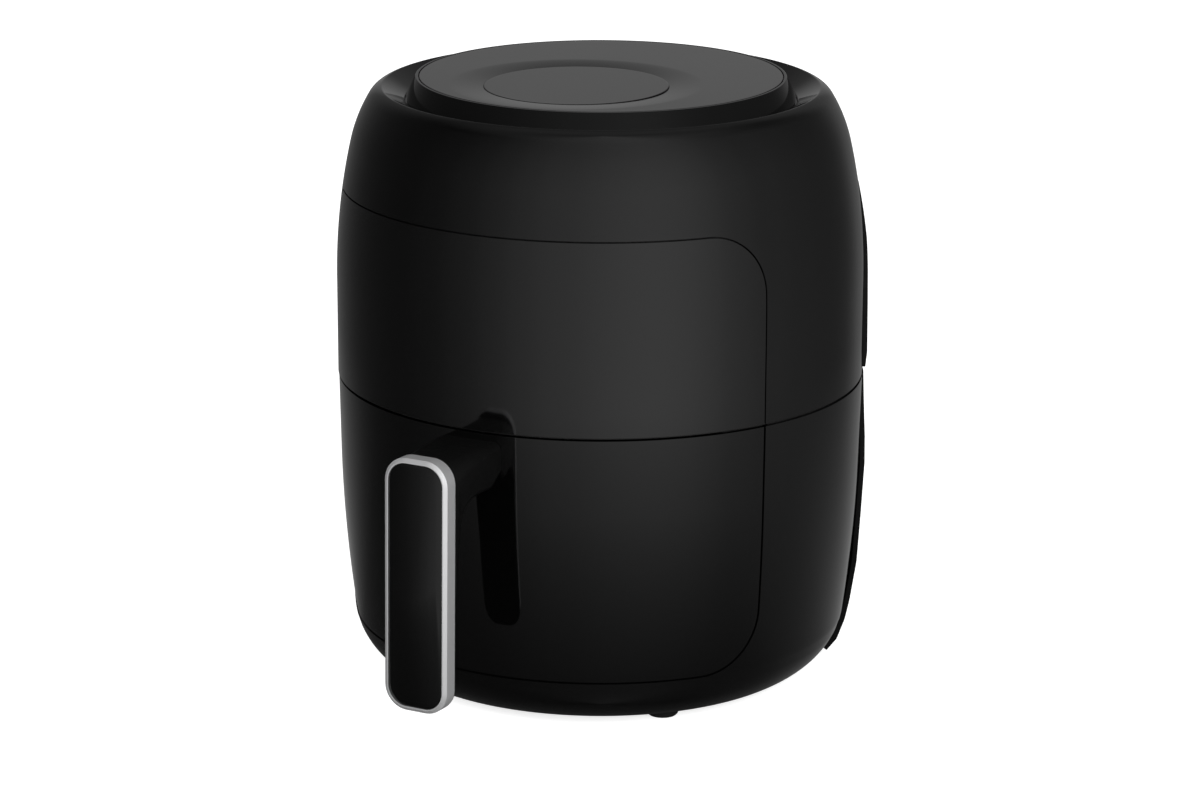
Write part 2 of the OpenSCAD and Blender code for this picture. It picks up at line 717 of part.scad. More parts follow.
module tube_arc(r, a0, a1) rotate([0, 0, a0]) rotate_extrude(angle = a1 - a0)
    translate([r, 0]) circle(r = tube_r, $fn = 24);

// Bend from level, heading +X, to upright, and the riser on it
module riser() {
    translate([0, 0, element_bend]) rotate([90, 0, 0]) tube_arc(element_bend, -90, 0);
    translate([element_bend, 0, element_bend])
        cylinder(r = tube_r, h = chamber_top + riser_out - element_z - element_bend, $fn = 24);
}

module heating_element() color("#3a3a3c") at_axis() translate([0, 0, element_z])
    for (side = [0, 180]) rotate([0, 0, side]) {
        for (k = [0:element_turns - 1]) translate([(crossings[k] + crossings[k + 1]) / 2, 0, 0])
            rotate([0, 0, 180 * k]) tube_arc(abs(crossings[k + 1] - crossings[k]) / 2, 0, 180);
        translate([crossings[element_turns], 0, 0])
            rotate([0, 0, element_turns % 2 == 0 ? 90 : -90]) riser();
    }

module element_bushes() color("ivory") at_axis() for (p = element_ends)
    translate([p[0], p[1], chamber_top - 2]) difference() {
        union() {
            cylinder(r = bush_r, h = riser_out - 2, $fn = 48);
            translate([0, 0, 2 + sheet]) cylinder(r = bush_r + bush_rim, h = riser_out - 4, $fn = 48);
        }
        translate([0, 0, -1]) cylinder(r = tube_r, h = riser_out + 3, $fn = 24);
    }

module sensor_place() at_polar(chamber_r - dome - 4, 130)
    translate([0, 0, chamber_top - sensor_l]) children();

module temperature_sensor() color("silver") at_axis() sensor_place() {
    cylinder(r = sensor_r, h = sensor_l + sheet + 1, $fn = 32);
    translate([0, 0, sensor_l + sheet]) cylinder(r = sensor_r + 2, h = 4, $fn = 32);
}

// Round thermostat on a strap, with two tabs for its wires
cutout_r = 7;
cutout_h = 6;
strap_l = 24;
strap_w = 8;
tab_h = 7;

module thermal_cutout() color("tan") at_axis() at_polar(chamber_r - dome - 8, 60)
    translate([0, 0, chamber_top + sheet]) {
        translate([-strap_l / 2, -strap_w / 2, 0]) cube([strap_l, strap_w, 1]);
        cylinder(r = cutout_r, h = cutout_h, $fn = 32);
        for (x = [-1, 1]) translate([x * cutout_r / 2 - 0.5, -3, cutout_h - eps]) cube([1, 6, tab_h]);
    }

// --- fan and motor ----------------------------------------------------------------------------
mount_gap = 8;                       // free height between the chamber and the motor's plate
mount_t = 1.5;
mount_z = chamber_top + sheet + mount_gap;
mount_at = motor_r + 12;             // distance of the plate's pillars from the axis
pillar_r = 4;
motor_z = mount_z + mount_t;
deck_share = 0.107;                  // share of the stack from the board deck's underside up
cooler_share = 0.086;                // and that the cooling fan takes
deck_z = ring_foot - flange_t - deck_share * stack_h;
deck_gap = 4;                        // free height between the shaft and the deck
shaft_tip = 2;                       // how far the shaft stands out of each fan
cooler_gap = 8;                      // free height between the motor and its cooling fan
cooler_h = cooler_share * stack_h;
cooler_z = deck_z - deck_gap - shaft_tip - cooler_h;
motor_top = cooler_z - cooler_gap;
motor_h = motor_top - motor_z;
bolt_at = motor_r - 6;               // distance of the motor's screws from the axis
bolt_l = 6;
fin_l = 3;
cap_h = 6;                           // height of the motor's stepped cap
cap_inset = 4;
bearing_r = 10;
collar_r = shaft_r + 2;
collar_h = 4;
hub_r = 14;
blade_t = 1.2;
blade_lag = 25;                      // angle by which the blades lean back
blade_edge = 3;                      // they start this far inside the plate's rim
blade_root = 8;                      // and stop this far from the convection fan's hub
cooler_root = 4;                     // or from the cooling fan's

module motor_mount() color("silver") at_axis() difference() {
    union() {
        disc(mount_at + pillar_r + 2, mount_z, mount_z + mount_t);
        for (a = [45:90:315]) at_polar(mount_at, a) disc(pillar_r, chamber_top + sheet, mount_z + eps);
    }
    disc(collar_r + 4, 0, far);
    for (a = [0:90:270]) at_polar(bolt_at, a) disc(screw_r + screw_gap, 0, far);
}

module fan_motor() color("#8a8d90") at_axis() difference() {
    union() {
        disc(motor_r, motor_z, motor_top - cap_h);
        disc(motor_r - cap_inset, motor_top - cap_h - eps, motor_top - cap_h / 3);
        disc(bearing_r, motor_top - cap_h / 3 - eps, motor_top);
        for (a = [0:30:330]) rotate([0, 0, a]) translate([motor_r - 1, -fin_l / 2, motor_z + cap_h])
            cube([fin_l, fin_l, motor_h - 2.5 * cap_h]);
    }
    disc(shaft_r + bearing_gap, 0, far);
    for (a = [0:90:270]) at_polar(bolt_at, a) disc(screw_r + screw_gap, 0, motor_z + bolt_l + 2);
}

module motor_screws() color("silver") at_axis() for (a = [0:90:270])
    at_polar(bolt_at, a) translate([0, 0, mount_z]) screw(mount_t + bolt_l);

module motor_shaft() color("silver") at_axis() {
    disc(shaft_r, fan_z - nut_h - shaft_tip, cooler_z + cooler_h + shaft_tip);
    disc(collar_r, fan_top + cover_plate, fan_top + cover_plate + collar_h);
}

module fan_blades(r0, r1, h) for (i = [0:blades - 1]) rotate([0, 0, i * 360 / blades])
    translate([r0, 0, 0]) rotate([0, 0, -blade_lag]) translate([0, -blade_t / 2, 0])
        cube([r1 - r0, blade_t, h]);

// Blades hang from a plate; the hub is clamped between the shaft's collar and the nut
module convection_fan() color("silver") at_axis() difference() {
    union() {
        translate([0, 0, fan_z]) fan_blades(hub_r + blade_root, fan_r - blade_edge, blade_h + eps);
        disc(fan_r, fan_top, fan_top + cover_plate);
        disc(hub_r, fan_z, fan_top + eps);
    }
    disc(shaft_r, 0, far);
}

module fan_nut() color("gold") at_axis() difference() {
    translate([0, 0, fan_z - nut_h]) cylinder(r = shaft_r + 4, h = nut_h, $fn = 6);
    disc(shaft_r, 0, far);
}

module cooling_fan() color("#2a2a2a") at_axis() difference() {
    union() {
        translate([0, 0, cooler_z + cover_plate - eps])
            fan_blades(hub_r + cooler_root, cooler_r - blade_edge, cooler_h - cover_plate);
        disc(cooler_r, cooler_z, cooler_z + cover_plate);
        disc(hub_r - 2, cooler_z, cooler_z + cooler_h);
    }
    disc(shaft_r, 0, far);
}

// --- electronics ------------------------------------------------------------------------------
deck_t = 2;
pcb_t = 1.6;
stud_r = 3;
stud_h = 6;                          // height of the studs that carry the boards
pillar_at = flange_r + 5;            // distance of the deck's pillars from the axis
stud_at = 0.75 * window_r;           // distance of the control board's studs from its middle
board_edge = 8;                      // the control board reaches this far beyond the window
pad_h = 4;                           // height of its touch pads
display_w = 52;                      // size of its display block
display_d = 24;
display_gap = 2;                     // gap between the block and the window's seat
power_w = 88;
power_d = 44;
power_y = pillar_at - power_d / 3;   // distance of the power board's middle from the axis
power_stud_x = 36;                   // where its studs stand, to either side of its middle
relay = [20, 16, 16];                // sizes of the boxes under it
coil = [16, 18, 12];
relay_x = -28;
coil_x = -2;
capacitor_r = 5;
capacitor_h = 14;
capacitor_x = [18, 32];

module board_deck() color("dimgray") at_axis() {
    disc(pillar_at + pillar_r + 1.5, deck_z, deck_z + deck_t);
    for (a = [30:60:330]) at_polar(pillar_at, a) disc(pillar_r, deck_z + deck_t - eps, ring_foot - flange_t);
    for (x = [-1, 1], y = [-1, 1]) translate([x * stud_at, -window_shift + y * stud_at, 0])
        disc(stud_r, deck_z + deck_t - eps, deck_z + deck_t + stud_h);
    for (x = [-1, 1], y = [-1, 1]) translate([x * power_stud_x, power_y + y * power_d / 4, 0])
        disc(stud_r, deck_z - stud_h, deck_z + eps);
}

// Round board under the window: a display block and touch pads that reach the window's seat
module control_board() color("darkgreen") at_axis()
    translate([0, -window_shift, deck_z + deck_t + stud_h]) {
        display_h = seat_z - display_gap - deck_z - deck_t - stud_h - pcb_t;
        cylinder(r = window_r + board_edge, h = pcb_t);
        translate([-display_w / 2, -display_d / 2, pcb_t - eps]) cube([display_w, display_d, display_h]);
        for (a = [200:20:340]) rotate([0, 0, a]) translate([window_r - 2 * stud_r, 0, pcb_t - eps])
            cylinder(r = stud_r, h = pad_h, $fn = 24);
    }

module hanging_box(x, size) translate([x - size[0] / 2, -size[1] / 2, -size[2]]) cube(size + [0, 0, eps]);

// Power board under the deck, with a relay, a transformer and two capacitors
module power_board() color("darkgreen") at_axis() translate([0, power_y, deck_z - stud_h - pcb_t]) {
    translate([-power_w / 2, -power_d / 2, 0]) cube([power_w, power_d, pcb_t]);
    hanging_box(relay_x, relay);
    hanging_box(coil_x, coil);
    for (x = capacitor_x) translate([x, 0, -capacitor_h])
        cylinder(r = capacitor_r, h = capacitor_h + eps, $fn = 32);
}

switch_t = 6.4;
switch_w = 20;
switch_h = 10;
switch_y = -(chamber_r + chamber_foot + fit + switch_t / 2);
module switch_place() translate([0, switch_y, web_top]) children();

// Microswitch on the mid frame; its plunger ends just above the drawer front
module drawer_switch() color("#7a1f1f") at_axis() switch_place() {
    translate([-switch_w / 2, -switch_t / 2, 0]) cube([switch_w, switch_t, switch_h]);
    translate([0, 0, web_z - web_top - 2])
        cylinder(r = plunger_r, h = web_top - web_z + 2 + eps, $fn = 32);
}

// --- drawer -----------------------------------------------------------------------------------
front_d = drawer_step + skin_t;      // the skin's inner face, set in from the lower wall's face
boss_face = body_r - 10;             // flat inner ends of the drawer front's bosses
boss_r = 5;
boss_x = 10;                         // the handle's screws, and the pan bracket's
bracket_screw_x = 30;
neck_top = handle_top - neck_drop;
neck_low = neck_top - neck_h;
bracket_z = (neck_top + neck_low) / 2 + 2;
handle_screw_l = 22;
bracket_screw_l = 4.5;               // depth of the bracket's screws in their bosses

// Places a child at the bracket's height, x to the side and y ahead of the axis, pointing forward
module forward(x, y) translate([x, -y, bracket_z]) rotate([90, 0, 0]) children();

module drawer_front() color("black") at_axis() difference() {
    union() {
        intersection() {
            rotate_extrude() intersection() {
                lower_band(drawer_step, front_d);
                rows(drawer_bottom, belt_low - slide_gap);
            }
            window_solid(drawer_bottom, -seam);
        }
        intersection() {
            rotate_extrude() lower_fill(front_d - 0.5);
            for (x = [-bracket_screw_x, -boss_x, boss_x, bracket_screw_x])
                translate([x, -boss_face, bracket_z]) rotate([90, 0, 0])
                    cylinder(r = boss_r, h = body_r - boss_face, $fn = 32);
        }
    }
    for (x = [-boss_x, boss_x]) forward(x, boss_face - 1) screw_hole(handle_screw_l);
    for (x = [-bracket_screw_x, bracket_screw_x]) forward(x, boss_face - 1) screw_hole(bracket_screw_l);
}

pan_top = pan_z + pan_h;
function pan_outer(d) = concat([[pan_r - rim_w - d, pan_top - pan_t]],
    arc([pan_r - rim_w - pan_draft - pan_corner, pan_z + pan_corner], pan_corner - d, 0, -90, 8));

module pan() color("#303032") at_axis() rotate_extrude()
    polygon(concat([[pan_r, pan_top], [pan_r, pan_top - pan_t]], pan_outer(0),
                   [[0, pan_z], [0, pan_z + pan_t]],
                   flip(pan_outer(pan_t)), [[pan_r - rim_w - pan_t, pan_top]]));

bracket_t = 1.5;
bracket_w = 80;
bracket_h = 12;

// Bent plate that ties the pan to the drawer front
module pan_bracket() color("silver") at_axis() difference() {
    low = bracket_z - bracket_h / 2;
    union() {
        translate([-bracket_w / 2, -boss_face, low]) cube([bracket_w, bracket_t, bracket_h]);
        for (z = [low, low + bracket_h - bracket_t])
            translate([-bracket_w / 2, -boss_face, z]) cube([bracket_w, boss_face, bracket_t]);
    }
    rotate_extrude() polygon(concat([[0, far]], [[pan_r - rim_w, far]], pan_outer(0), [[0, pan_z]]));
    for (x = [-bracket_screw_x, bracket_screw_x, -boss_x, boss_x]) forward(x, 0) screw_hole(far);
    for (x = [-boss_x, boss_x]) forward(x, 0) cylinder(r = head_r + fit, h = far, $fn = 32);
}

module bracket_screws() color("silver") at_axis() for (x = [-bracket_screw_x, bracket_screw_x])
    forward(x, boss_face - bracket_t) screw(bracket_t + bracket_screw_l - 1.5);

module handle_screws() color("silver") at_axis() for (x = [-boss_x, boss_x])
    forward(x, boss_face) screw(handle_screw_l);

// --- handle: drawn upright, then leaned out about its top edge -----------------------------------
module leaning() translate([0, -handle_reach, handle_top]) rotate([-handle_lean, 0, 0]) children();

// Rounded outline of the handle, set in by d, from depth y0 to y1 behind the face
module handle_slab(d, y0, y1) translate([0, y1, -handle_l / 2]) rotate([90, 0, 0]) linear_extrude(y1 - y0)
    round_rect(handle_w - 2 * d, handle_l - 2 * d, handle_corner - d);

frame_edge = 0.5;                    // step of the frame's softened front edge
insert_gap = 0.1;                    // between the frame and what fits inside it
body_inset = 0.2;                    // the grip's sides lie this far inside the frame's
grip_front = handle_reach - frame_d;
grip_back = grip_front - grip_t;
grip_run = 32;                       // length over which the grip's back runs out below the fillet
neck_flare = 6;                      // the neck is thinner by this much where it meets the body
neck_root = 20;                      // the neck's outer form is set this far inside and outside the wall
neck_edge = [4, 5, 9];               // radii of its top edges there, and where it meets the grip
overlap = 1.2;                       // the grip's edge stands this far out of the frame's back

module handle_frame() color("silver") at_axis() leaning() difference() {
    union() {
        handle_slab(0, frame_edge, frame_d);
        handle_slab(frame_edge, 0, frame_d);
    }
    handle_slab(frame_w, -1, frame_d + 1);
}

module handle_insert() color("#1a1a1c") at_axis() leaning()
    handle_slab(frame_w + insert_gap, insert_step, insert_step + insert_t);

// Side view of neck and grip: x is the distance ahead of the body axis, y is the height
module neck_profile() difference() {
    union() {
        polygon([[0, neck_top - 1], [grip_front, neck_top],
                 [grip_front, neck_low - neck_fillet - grip_run],
                 [grip_back, neck_low - neck_fillet], [grip_back - neck_fillet, neck_low],
                 [body_r + neck_flare, neck_low], [body_r - neck_flare / 2, neck_low + neck_flare],
                 [0, neck_low + neck_flare]]);
        translate([grip_back - neck_fillet, neck_low - neck_fillet]) square(neck_fillet);
    }
    translate([grip_back - neck_fillet, neck_low - neck_fillet]) circle(r = neck_fillet);
}

// Cross-section of the neck, y ahead of the axis, with its top edges rounded by r
module neck_section(y, r) translate([0, -y, 0]) rotate([90, 0, 0]) linear_extrude(eps) hull()
    for (x = [-1, 1]) {
        translate([x * (handle_w / 2 - body_inset - r), neck_top - r]) circle(r = r, $fn = 32);
        translate([x * (handle_w / 2 - body_inset - 1), handle_top - handle_l + handle_corner])
            circle(r = 1, $fn = 16);
    }

module handle_body() color("black") at_axis() difference() {
    union() {
        intersection() {
            rotate([90, 0, -90]) translate([0, 0, -handle_w]) linear_extrude(2 * handle_w) neck_profile();
            hull() {
                neck_section(body_r - neck_root, neck_edge[0]);
                neck_section(body_r + neck_root, neck_edge[1]);
                neck_section(grip_front + 2, neck_edge[2]);
            }
        }
        leaning() {
            handle_slab(frame_w + insert_gap, insert_step + insert_t, frame_d + eps);
            handle_slab(body_inset, frame_d, frame_d + overlap);
        }
    }
    rotate_extrude() lower_fill(drawer_step - eps);
    leaning() difference() {
        handle_slab(-2, -10, frame_d);
        handle_slab(frame_w + insert_gap, -11, frame_d + 1);
    }
    leaning() handle_slab(-2, -20, insert_step + insert_t);
    for (x = [-boss_x, boss_x]) forward(x, boss_face) cylinder(r = screw_r, h = handle_screw_l + 1, $fn = 32);
}

// --- crisper tray -----------------------------------------------------------------------------
tray_z = pan_z + pan_t + tray_lift;
tray_r = pan_r - rim_w - pan_draft - pan_t - tray_gap;
hole_pitch = 5.7 * tray_hole_r;      // between the tray's rings of holes
hole_edge = 12;                      // plain width round them
tray_rim_h = 7;
tray_rim_t = 1.5;
leg_r = 4;
leg_at = tray_r - 18;
bumper_w = 14;
bumper_h = 11;
notch_d = 5;                         // depth of the notches that hold the bumpers

module crisper_tray() color("#28282a") at_axis() difference() {
    union() {
        disc(tray_r, tray_z, tray_z + tray_t);
        ring(tray_r - tray_rim_t, tray_r, tray_z, tray_z + tray_rim_h);
        four_ways(leg_at, 45) disc(leg_r, pan_z + pan_t + slide_gap, tray_z + eps);
    }
    for (ring_no = [1:floor((tray_r - hole_edge) / hole_pitch)]) {
        n = 5 * ring_no;
        for (i = [0:n - 1]) at_polar(ring_no * hole_pitch, i * 360 / n + 12 * ring_no)
            disc(tray_hole_r, 0, far, $fn = 24);
    }
    for (a = [45:90:315]) facing(a) translate([-bumper_w / 2, -far, tray_z - 1])
        cube([bumper_w, far - tray_r + notch_d, bumper_h + 1]);
}

// Silicone bumpers that fill the tray's edge notches and touch nothing else
module tray_bumpers() color("#5a5a5c") at_axis() for (a = [45:90:315]) facing(a)
    translate([-bumper_w / 2, 1 - tray_r - tray_gap, tray_z - 3])
        cube([bumper_w, tray_gap + notch_d - 1, bumper_h]);

base_plate();
feet();
base_screws();
lower_housing();
upper_housing();
mid_frame();
front_panel();
drawer_bezel();
top_ring();
control_panel();
display_window();
rear_cover_lower();
rear_cover_upper();
outlet_grille();
exhaust_duct();
cord_inlet();
cavity_floor();
cavity_liner();
hot_chamber();
element_guard();
heating_element();
element_bushes();
temperature_sensor();
thermal_cutout();
motor_mount();
fan_motor();
motor_screws();
board_deck();
power_board();
control_board();
drawer_switch();
drawer_front();
pan();
pan_bracket();
bracket_screws();
handle_body();
handle_frame();
handle_insert();
handle_screws();
crisper_tray();
tray_bumpers();
motor_shaft();
convection_fan();
cooling_fan();
fan_nut();
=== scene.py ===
import json
import math

import bmesh
import bpy
from mathutils import Matrix, Vector


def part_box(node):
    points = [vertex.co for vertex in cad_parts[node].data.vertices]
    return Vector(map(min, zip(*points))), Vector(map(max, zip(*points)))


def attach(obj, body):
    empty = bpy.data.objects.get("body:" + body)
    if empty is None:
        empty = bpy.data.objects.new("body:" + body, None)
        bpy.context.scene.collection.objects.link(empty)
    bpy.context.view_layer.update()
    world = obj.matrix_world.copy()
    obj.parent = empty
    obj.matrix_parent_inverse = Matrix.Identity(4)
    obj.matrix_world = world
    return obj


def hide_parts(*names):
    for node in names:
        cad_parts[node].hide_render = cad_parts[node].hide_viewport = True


# Air fryer: a glossy round body on a white table. Every piece is built round the frame's bodies.
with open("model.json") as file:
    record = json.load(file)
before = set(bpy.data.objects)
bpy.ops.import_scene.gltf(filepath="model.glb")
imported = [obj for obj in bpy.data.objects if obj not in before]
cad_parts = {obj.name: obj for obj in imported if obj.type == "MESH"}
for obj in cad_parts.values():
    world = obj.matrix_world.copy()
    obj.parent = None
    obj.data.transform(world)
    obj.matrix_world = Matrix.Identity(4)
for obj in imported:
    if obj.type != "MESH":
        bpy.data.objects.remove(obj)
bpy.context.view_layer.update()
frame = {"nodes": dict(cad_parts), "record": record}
NODES = frame["nodes"]
MM = 0.001

# ---------------------------------------------------------------- sizes, in millimetres
fan_low, fan_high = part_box("convection_fan")
AXIS_Y = (fan_low.y + fan_high.y) / 2 / MM       # the round body's axis
TOTAL_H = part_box("top_ring")[1].z / MM
BELT_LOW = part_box("lower_housing")[1].z / MM
BELT_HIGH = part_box("upper_housing")[0].z / MM
BELT_Z = (BELT_LOW + BELT_HIGH) / 2
FOOT_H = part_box("lower_housing")[0].z / MM

BODY_R = 140          # at the belt
WALL = 3
TAPER = 1             # slope of the lower wall just below the belt, in degrees
BARREL_R = 730        # long curve of the lower wall
HEEL_R = 37           # curve from the lower wall in to the base
HEEL_START = 8        # slope of the wall where the heel begins
HEEL_END = 62         # and where it meets the base
UPPER_STEP = 0.2      # the upper wall stands this far inside that
UPPER_R = BODY_R - UPPER_STEP
BROW_R = 328          # long curve of the upper wall
SHOULDER_R = 80
CREST_R = 11.8
BROW_END = 12.7       # slopes at which these three curves end
SHOULDER_END = 31.3
CREST_END = 72        # where a narrow edge turns down into the moat
CREST_EDGE = 1.2      # radius of that edge
MOAT_END = 117        # slope at which it ends
CREST_DROP = 5.4      # depth below the lip of the point where the crest's slope is CREST_REST
CREST_REST = 70

SEAM = 0.8            # gap round the drawer front and the front panel
SEAM_AZ = 65.5        # angle from straight ahead to the upright seams
SEAM_R = 33           # their corner radius
LIP = 5               # reach of the front panel's lip behind the housing
LIP_T = 2
LIP_STEP = 0.05       # the lip starts this far behind the wall
PANEL_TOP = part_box("front_panel")[1].z / MM - LIP
DRAWER_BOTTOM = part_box("drawer_front")[0].z / MM - SEAM
DRAWER_STEP = 0.6     # the drawer front lies this far behind the lower wall
DRAWER_DROP = 0.3     # and this far below its top
DRAWER_T = 2.1

LIP_R = 95.9          # inner radius of the top ring's lip
LIP_W = 1.5
CONE_W = 4.8          # width and height of the ring's slope down to the moat
CONE_H = 10.6
LEDGE = 3.4           # the ring reaches this far in under the control panel
MOAT_DEPTH = 2.2      # from the foot of that slope down to the moat's floor
# last rows of the upper shell: distance out from the ring, and height above the moat's floor
MOAT_ROWS = [(1.2, 1.6), (0.4, 0), (-6, 0)]
PANEL_GAP = 0.5
PANEL_T = 3
WINDOW_R = 48
WINDOW_T = 2
WINDOW_SHIFT = 27     # the display is this far in front of the axis
WINDOW_GAP = 0.12
WINDOW_FRONT = 0.1    # height of the display's front edge above the dish's floor
WINDOW_BACK = 0.9     # and of its back edge
WINDOW_FLAT = 0.9     # width of the even band round the display
WINDOW_EDGE = [(0.3, 0), (0.06, 0.06), (0, 0.25)]   # its rounding: inset and drop
DISH_DEPTH = 1.3
DISH_R = 66
DISH_CURVE = 1.35
RIM_ROWS = 8          # rows of the panel outside the dish
DISC_ROWS = 8         # distance between the display's rows

EDGE = 0.35           # rounding of the shells' edges
TINY = 0.01           # radius at which a disc's rows end, for a point
TURN_COLUMNS = 288    # columns of a skin that goes all the way round


# ---------------------------------------------------------------- outer profile
def turn(r, degrees):
    """Step of length r at an angle above level."""
    a = math.radians(degrees)
    return Vector((r * math.cos(a), r * math.sin(a)))


def sin_d(degrees):
    return math.sin(math.radians(degrees))


BARREL_H = BARREL_R * (sin_d(HEEL_START) - sin_d(TAPER))
HEEL_H = HEEL_R * (sin_d(HEEL_END) - sin_d(HEEL_START))
CONE_Z = FOOT_H + HEEL_H + BARREL_H
CONE_R = BODY_R - (BELT_Z - CONE_Z) * math.tan(math.radians(TAPER))
BARREL_C = Vector((CONE_R, CONE_Z)) - turn(BARREL_R, -TAPER)
HEEL_C = BARREL_C + turn(BARREL_R - HEEL_R, -HEEL_START)
HEEL_TOP = HEEL_C.y - HEEL_R * sin_d(HEEL_START)

CREST_Z = TOTAL_H - CREST_DROP
BROW_Z = (CREST_Z - CREST_R * sin_d(CREST_REST) - (SHOULDER_R - CREST_R) * sin_d(SHOULDER_END)
          - (BROW_R - SHOULDER_R) * sin_d(BROW_END))
BROW_C = Vector((UPPER_R - BROW_R, BROW_Z))
SHOULDER_C = BROW_C + turn(BROW_R - SHOULDER_R, BROW_END)
CREST_C = SHOULDER_C + turn(SHOULDER_R - CREST_R, SHOULDER_END)


def on_arc(centre, r, z):
    """Outward reach at height z of a circle round centre."""
    return centre.x + math.sqrt(r * r - (z - centre.y) ** 2)


def lower_radius(z, d=0.0):
    """Radius of the lower wall at height z, set in by d."""
    if z > CONE_Z:
        return CONE_R + (z - CONE_Z) * math.tan(math.radians(TAPER)) - d
    if z > HEEL_TOP:
        return on_arc(BARREL_C, BARREL_R - d, z)
    return on_arc(HEEL_C, HEEL_R - d, z)


def upper_radius(z, d=0.0):
    """Radius of the upper wall at height z, set in by d, up to the shoulder."""
    if z < BROW_Z:
        return UPPER_R - d
    if z < BROW_C.y + BROW_R * sin_d(BROW_END):
        return on_arc(BROW_C, BROW_R - d, z)
    return on_arc(SHOULDER_C, SHOULDER_R - d, z)


def steps(a, b, size):
    """Values from a to b, evenly spaced by about size, both ends included."""
    n = max(1, math.ceil(abs(b - a) / size))
    return [a + (b - a) * i / n for i in range(n + 1)]


# ---------------------------------------------------------------- mesh building
def at(r, az, z):
    """Point at radius r and height z in millimetres, az degrees from straight ahead towards +X."""
    a = math.radians(az)
    return Vector((r * math.sin(a), AXIS_Y - r * math.cos(a), z)) * MM


def mesh_object(name, points, faces):
    """Smooth-shaded object in the scene, from points in metres."""
    mesh = bpy.data.meshes.new(name)
    mesh.from_pydata(points, [], faces)
    mesh.validate()
    mesh.shade_smooth()
    obj = bpy.data.objects.new(name, mesh)
    bpy.context.scene.collection.objects.link(obj)
    return obj


def rows_to_mesh(name, rows, wrap=False, flip=False):
    """Skin over rows of equally many points. wrap joins each row's end to its start."""
    n = len(rows[0])
    points = [p for row in rows for p in row]
    faces = []
    for i in range(len(rows) - 1):
        for j in range(n if wrap else n - 1):
            k = (j + 1) % n
            quad = (i * n + j, i * n + k, (i + 1) * n + k, (i + 1) * n + j)
            faces.append(quad[::-1] if flip else quad)
    return mesh_object(name, points, faces)


def lathe(name, profile, centre=(0.0, 0.0)):
    """Profile of (radius, height) points turned about the body's axis or, by centre, one beside it."""
    offset = Vector((centre[0], centre[1], 0)) * MM
    angles = [360 * j / TURN_COLUMNS for j in range(TURN_COLUMNS)]
    rows = [[at(r, az, z) + offset for az in angles] for r, z in profile]
    return rows_to_mesh(name, rows, wrap=True)


def loops_to_mesh(name, loops, closed=False):
    """Skin over loops; closed joins the last to the first, otherwise both ends are capped."""
    n = len(loops[0])
    rows = loops + [loops[0]] if closed else loops
    points = [p for loop in loops for p in loop]
    faces = []
    for i in range(len(rows) - 1):
        a, b = i * n, ((i + 1) % len(loops)) * n
        faces += [(a + j, a + (j + 1) % n, b + (j + 1) % n, b + j) for j in range(n)]
    if not closed:
        faces += [tuple(range(n))[::-1], tuple(range(len(points) - n, len(points)))]
    return mesh_object(name, points, faces)


def round_rect(w, h, r_top, r_low, corner=10):
    """Outline of an upright rounded rectangle about its middle, as (x, z) points."""
    corners = [(w / 2 - r_top, h / 2 - r_top, 0, r_top), (r_top - w / 2, h / 2 - r_top, 90, r_top),
               (r_low - w / 2, r_low - h / 2, 180, r_low), (w / 2 - r_low, r_low - h / 2, 270, r_low)]
    points = []
    for x, z, start, r in corners:
        points += [Vector((x, z)) + turn(r, start + 90 * i / corner) for i in range(corner + 1)]
    return points


def modify(obj, kind, **settings):
    """Adds a modifier with its settings."""
    modifier = obj.modifiers.new(kind.title(), kind)
    for key, value in settings.items():
        setattr(modifier, key, value)


def thicken(obj, thickness, edge=EDGE):
    """Gives a skin its thickness, inwards, and rounds its edges."""
    modify(obj, "SOLIDIFY", thickness=thickness * MM, offset=-1.0, use_even_offset=False)
    round_edges(obj, edge)


def round_edges(obj, edge=EDGE, segments=3, angle=40):
    """Rounds the edges that turn by more than angle, and shades the faces between them flat."""
    modify(obj, "BEVEL", width=edge * MM, segments=segments, limit_method="ANGLE",
           angle_limit=math.radians(angle), miter_outer="MITER_ARC")
    modify(obj, "WEIGHTED_NORMAL", keep_sharp=False, weight=80)


# ---------------------------------------------------------------- the window in the body's shell
CORNER_AZ = SEAM_AZ - math.degrees(math.asin(SEAM_R / BODY_R))


def window_side(z, z_edge, grow, r):
    """Angle from straight ahead to the window's edge at height z, on a wall of radius r there."""
    up = 1 if z_edge > BELT_Z else -1
    corner = z_edge - up * SEAM_R
    rise = max(0.0, up * (z - corner))
    reach = math.sqrt(max(0.0, (SEAM_R + grow) ** 2 - rise ** 2))
    return CORNER_AZ + math.degrees(math.asin(reach / r))


def window_heights(z_open, z_edge, grow, size):
    """Heights from the open side of the window to its level edge, closer together round the corner."""
    up = 1 if z_edge > BELT_Z else -1
    corner = z_edge - up * SEAM_R
    bend = [corner + up * (SEAM_R + grow) * sin_d(a) for a in steps(0, 90, 3)]
    return steps(z_open, corner, size) + bend[1:]


def window_patch(name, z_open, z_edge, grow, radius, columns=150, size=2.5):
    """The piece of wall inside the window, as a skin facing out."""
    rows = []
    for z in window_heights(z_open, z_edge, grow, size):
        r = radius(z)
        side = window_side(z, z_edge, grow, r)
        rows.append([at(r, side * (2 * j / columns - 1), z) for j in range(columns + 1)])
    return rows_to_mesh(name, rows, flip=z_edge < BELT_Z)


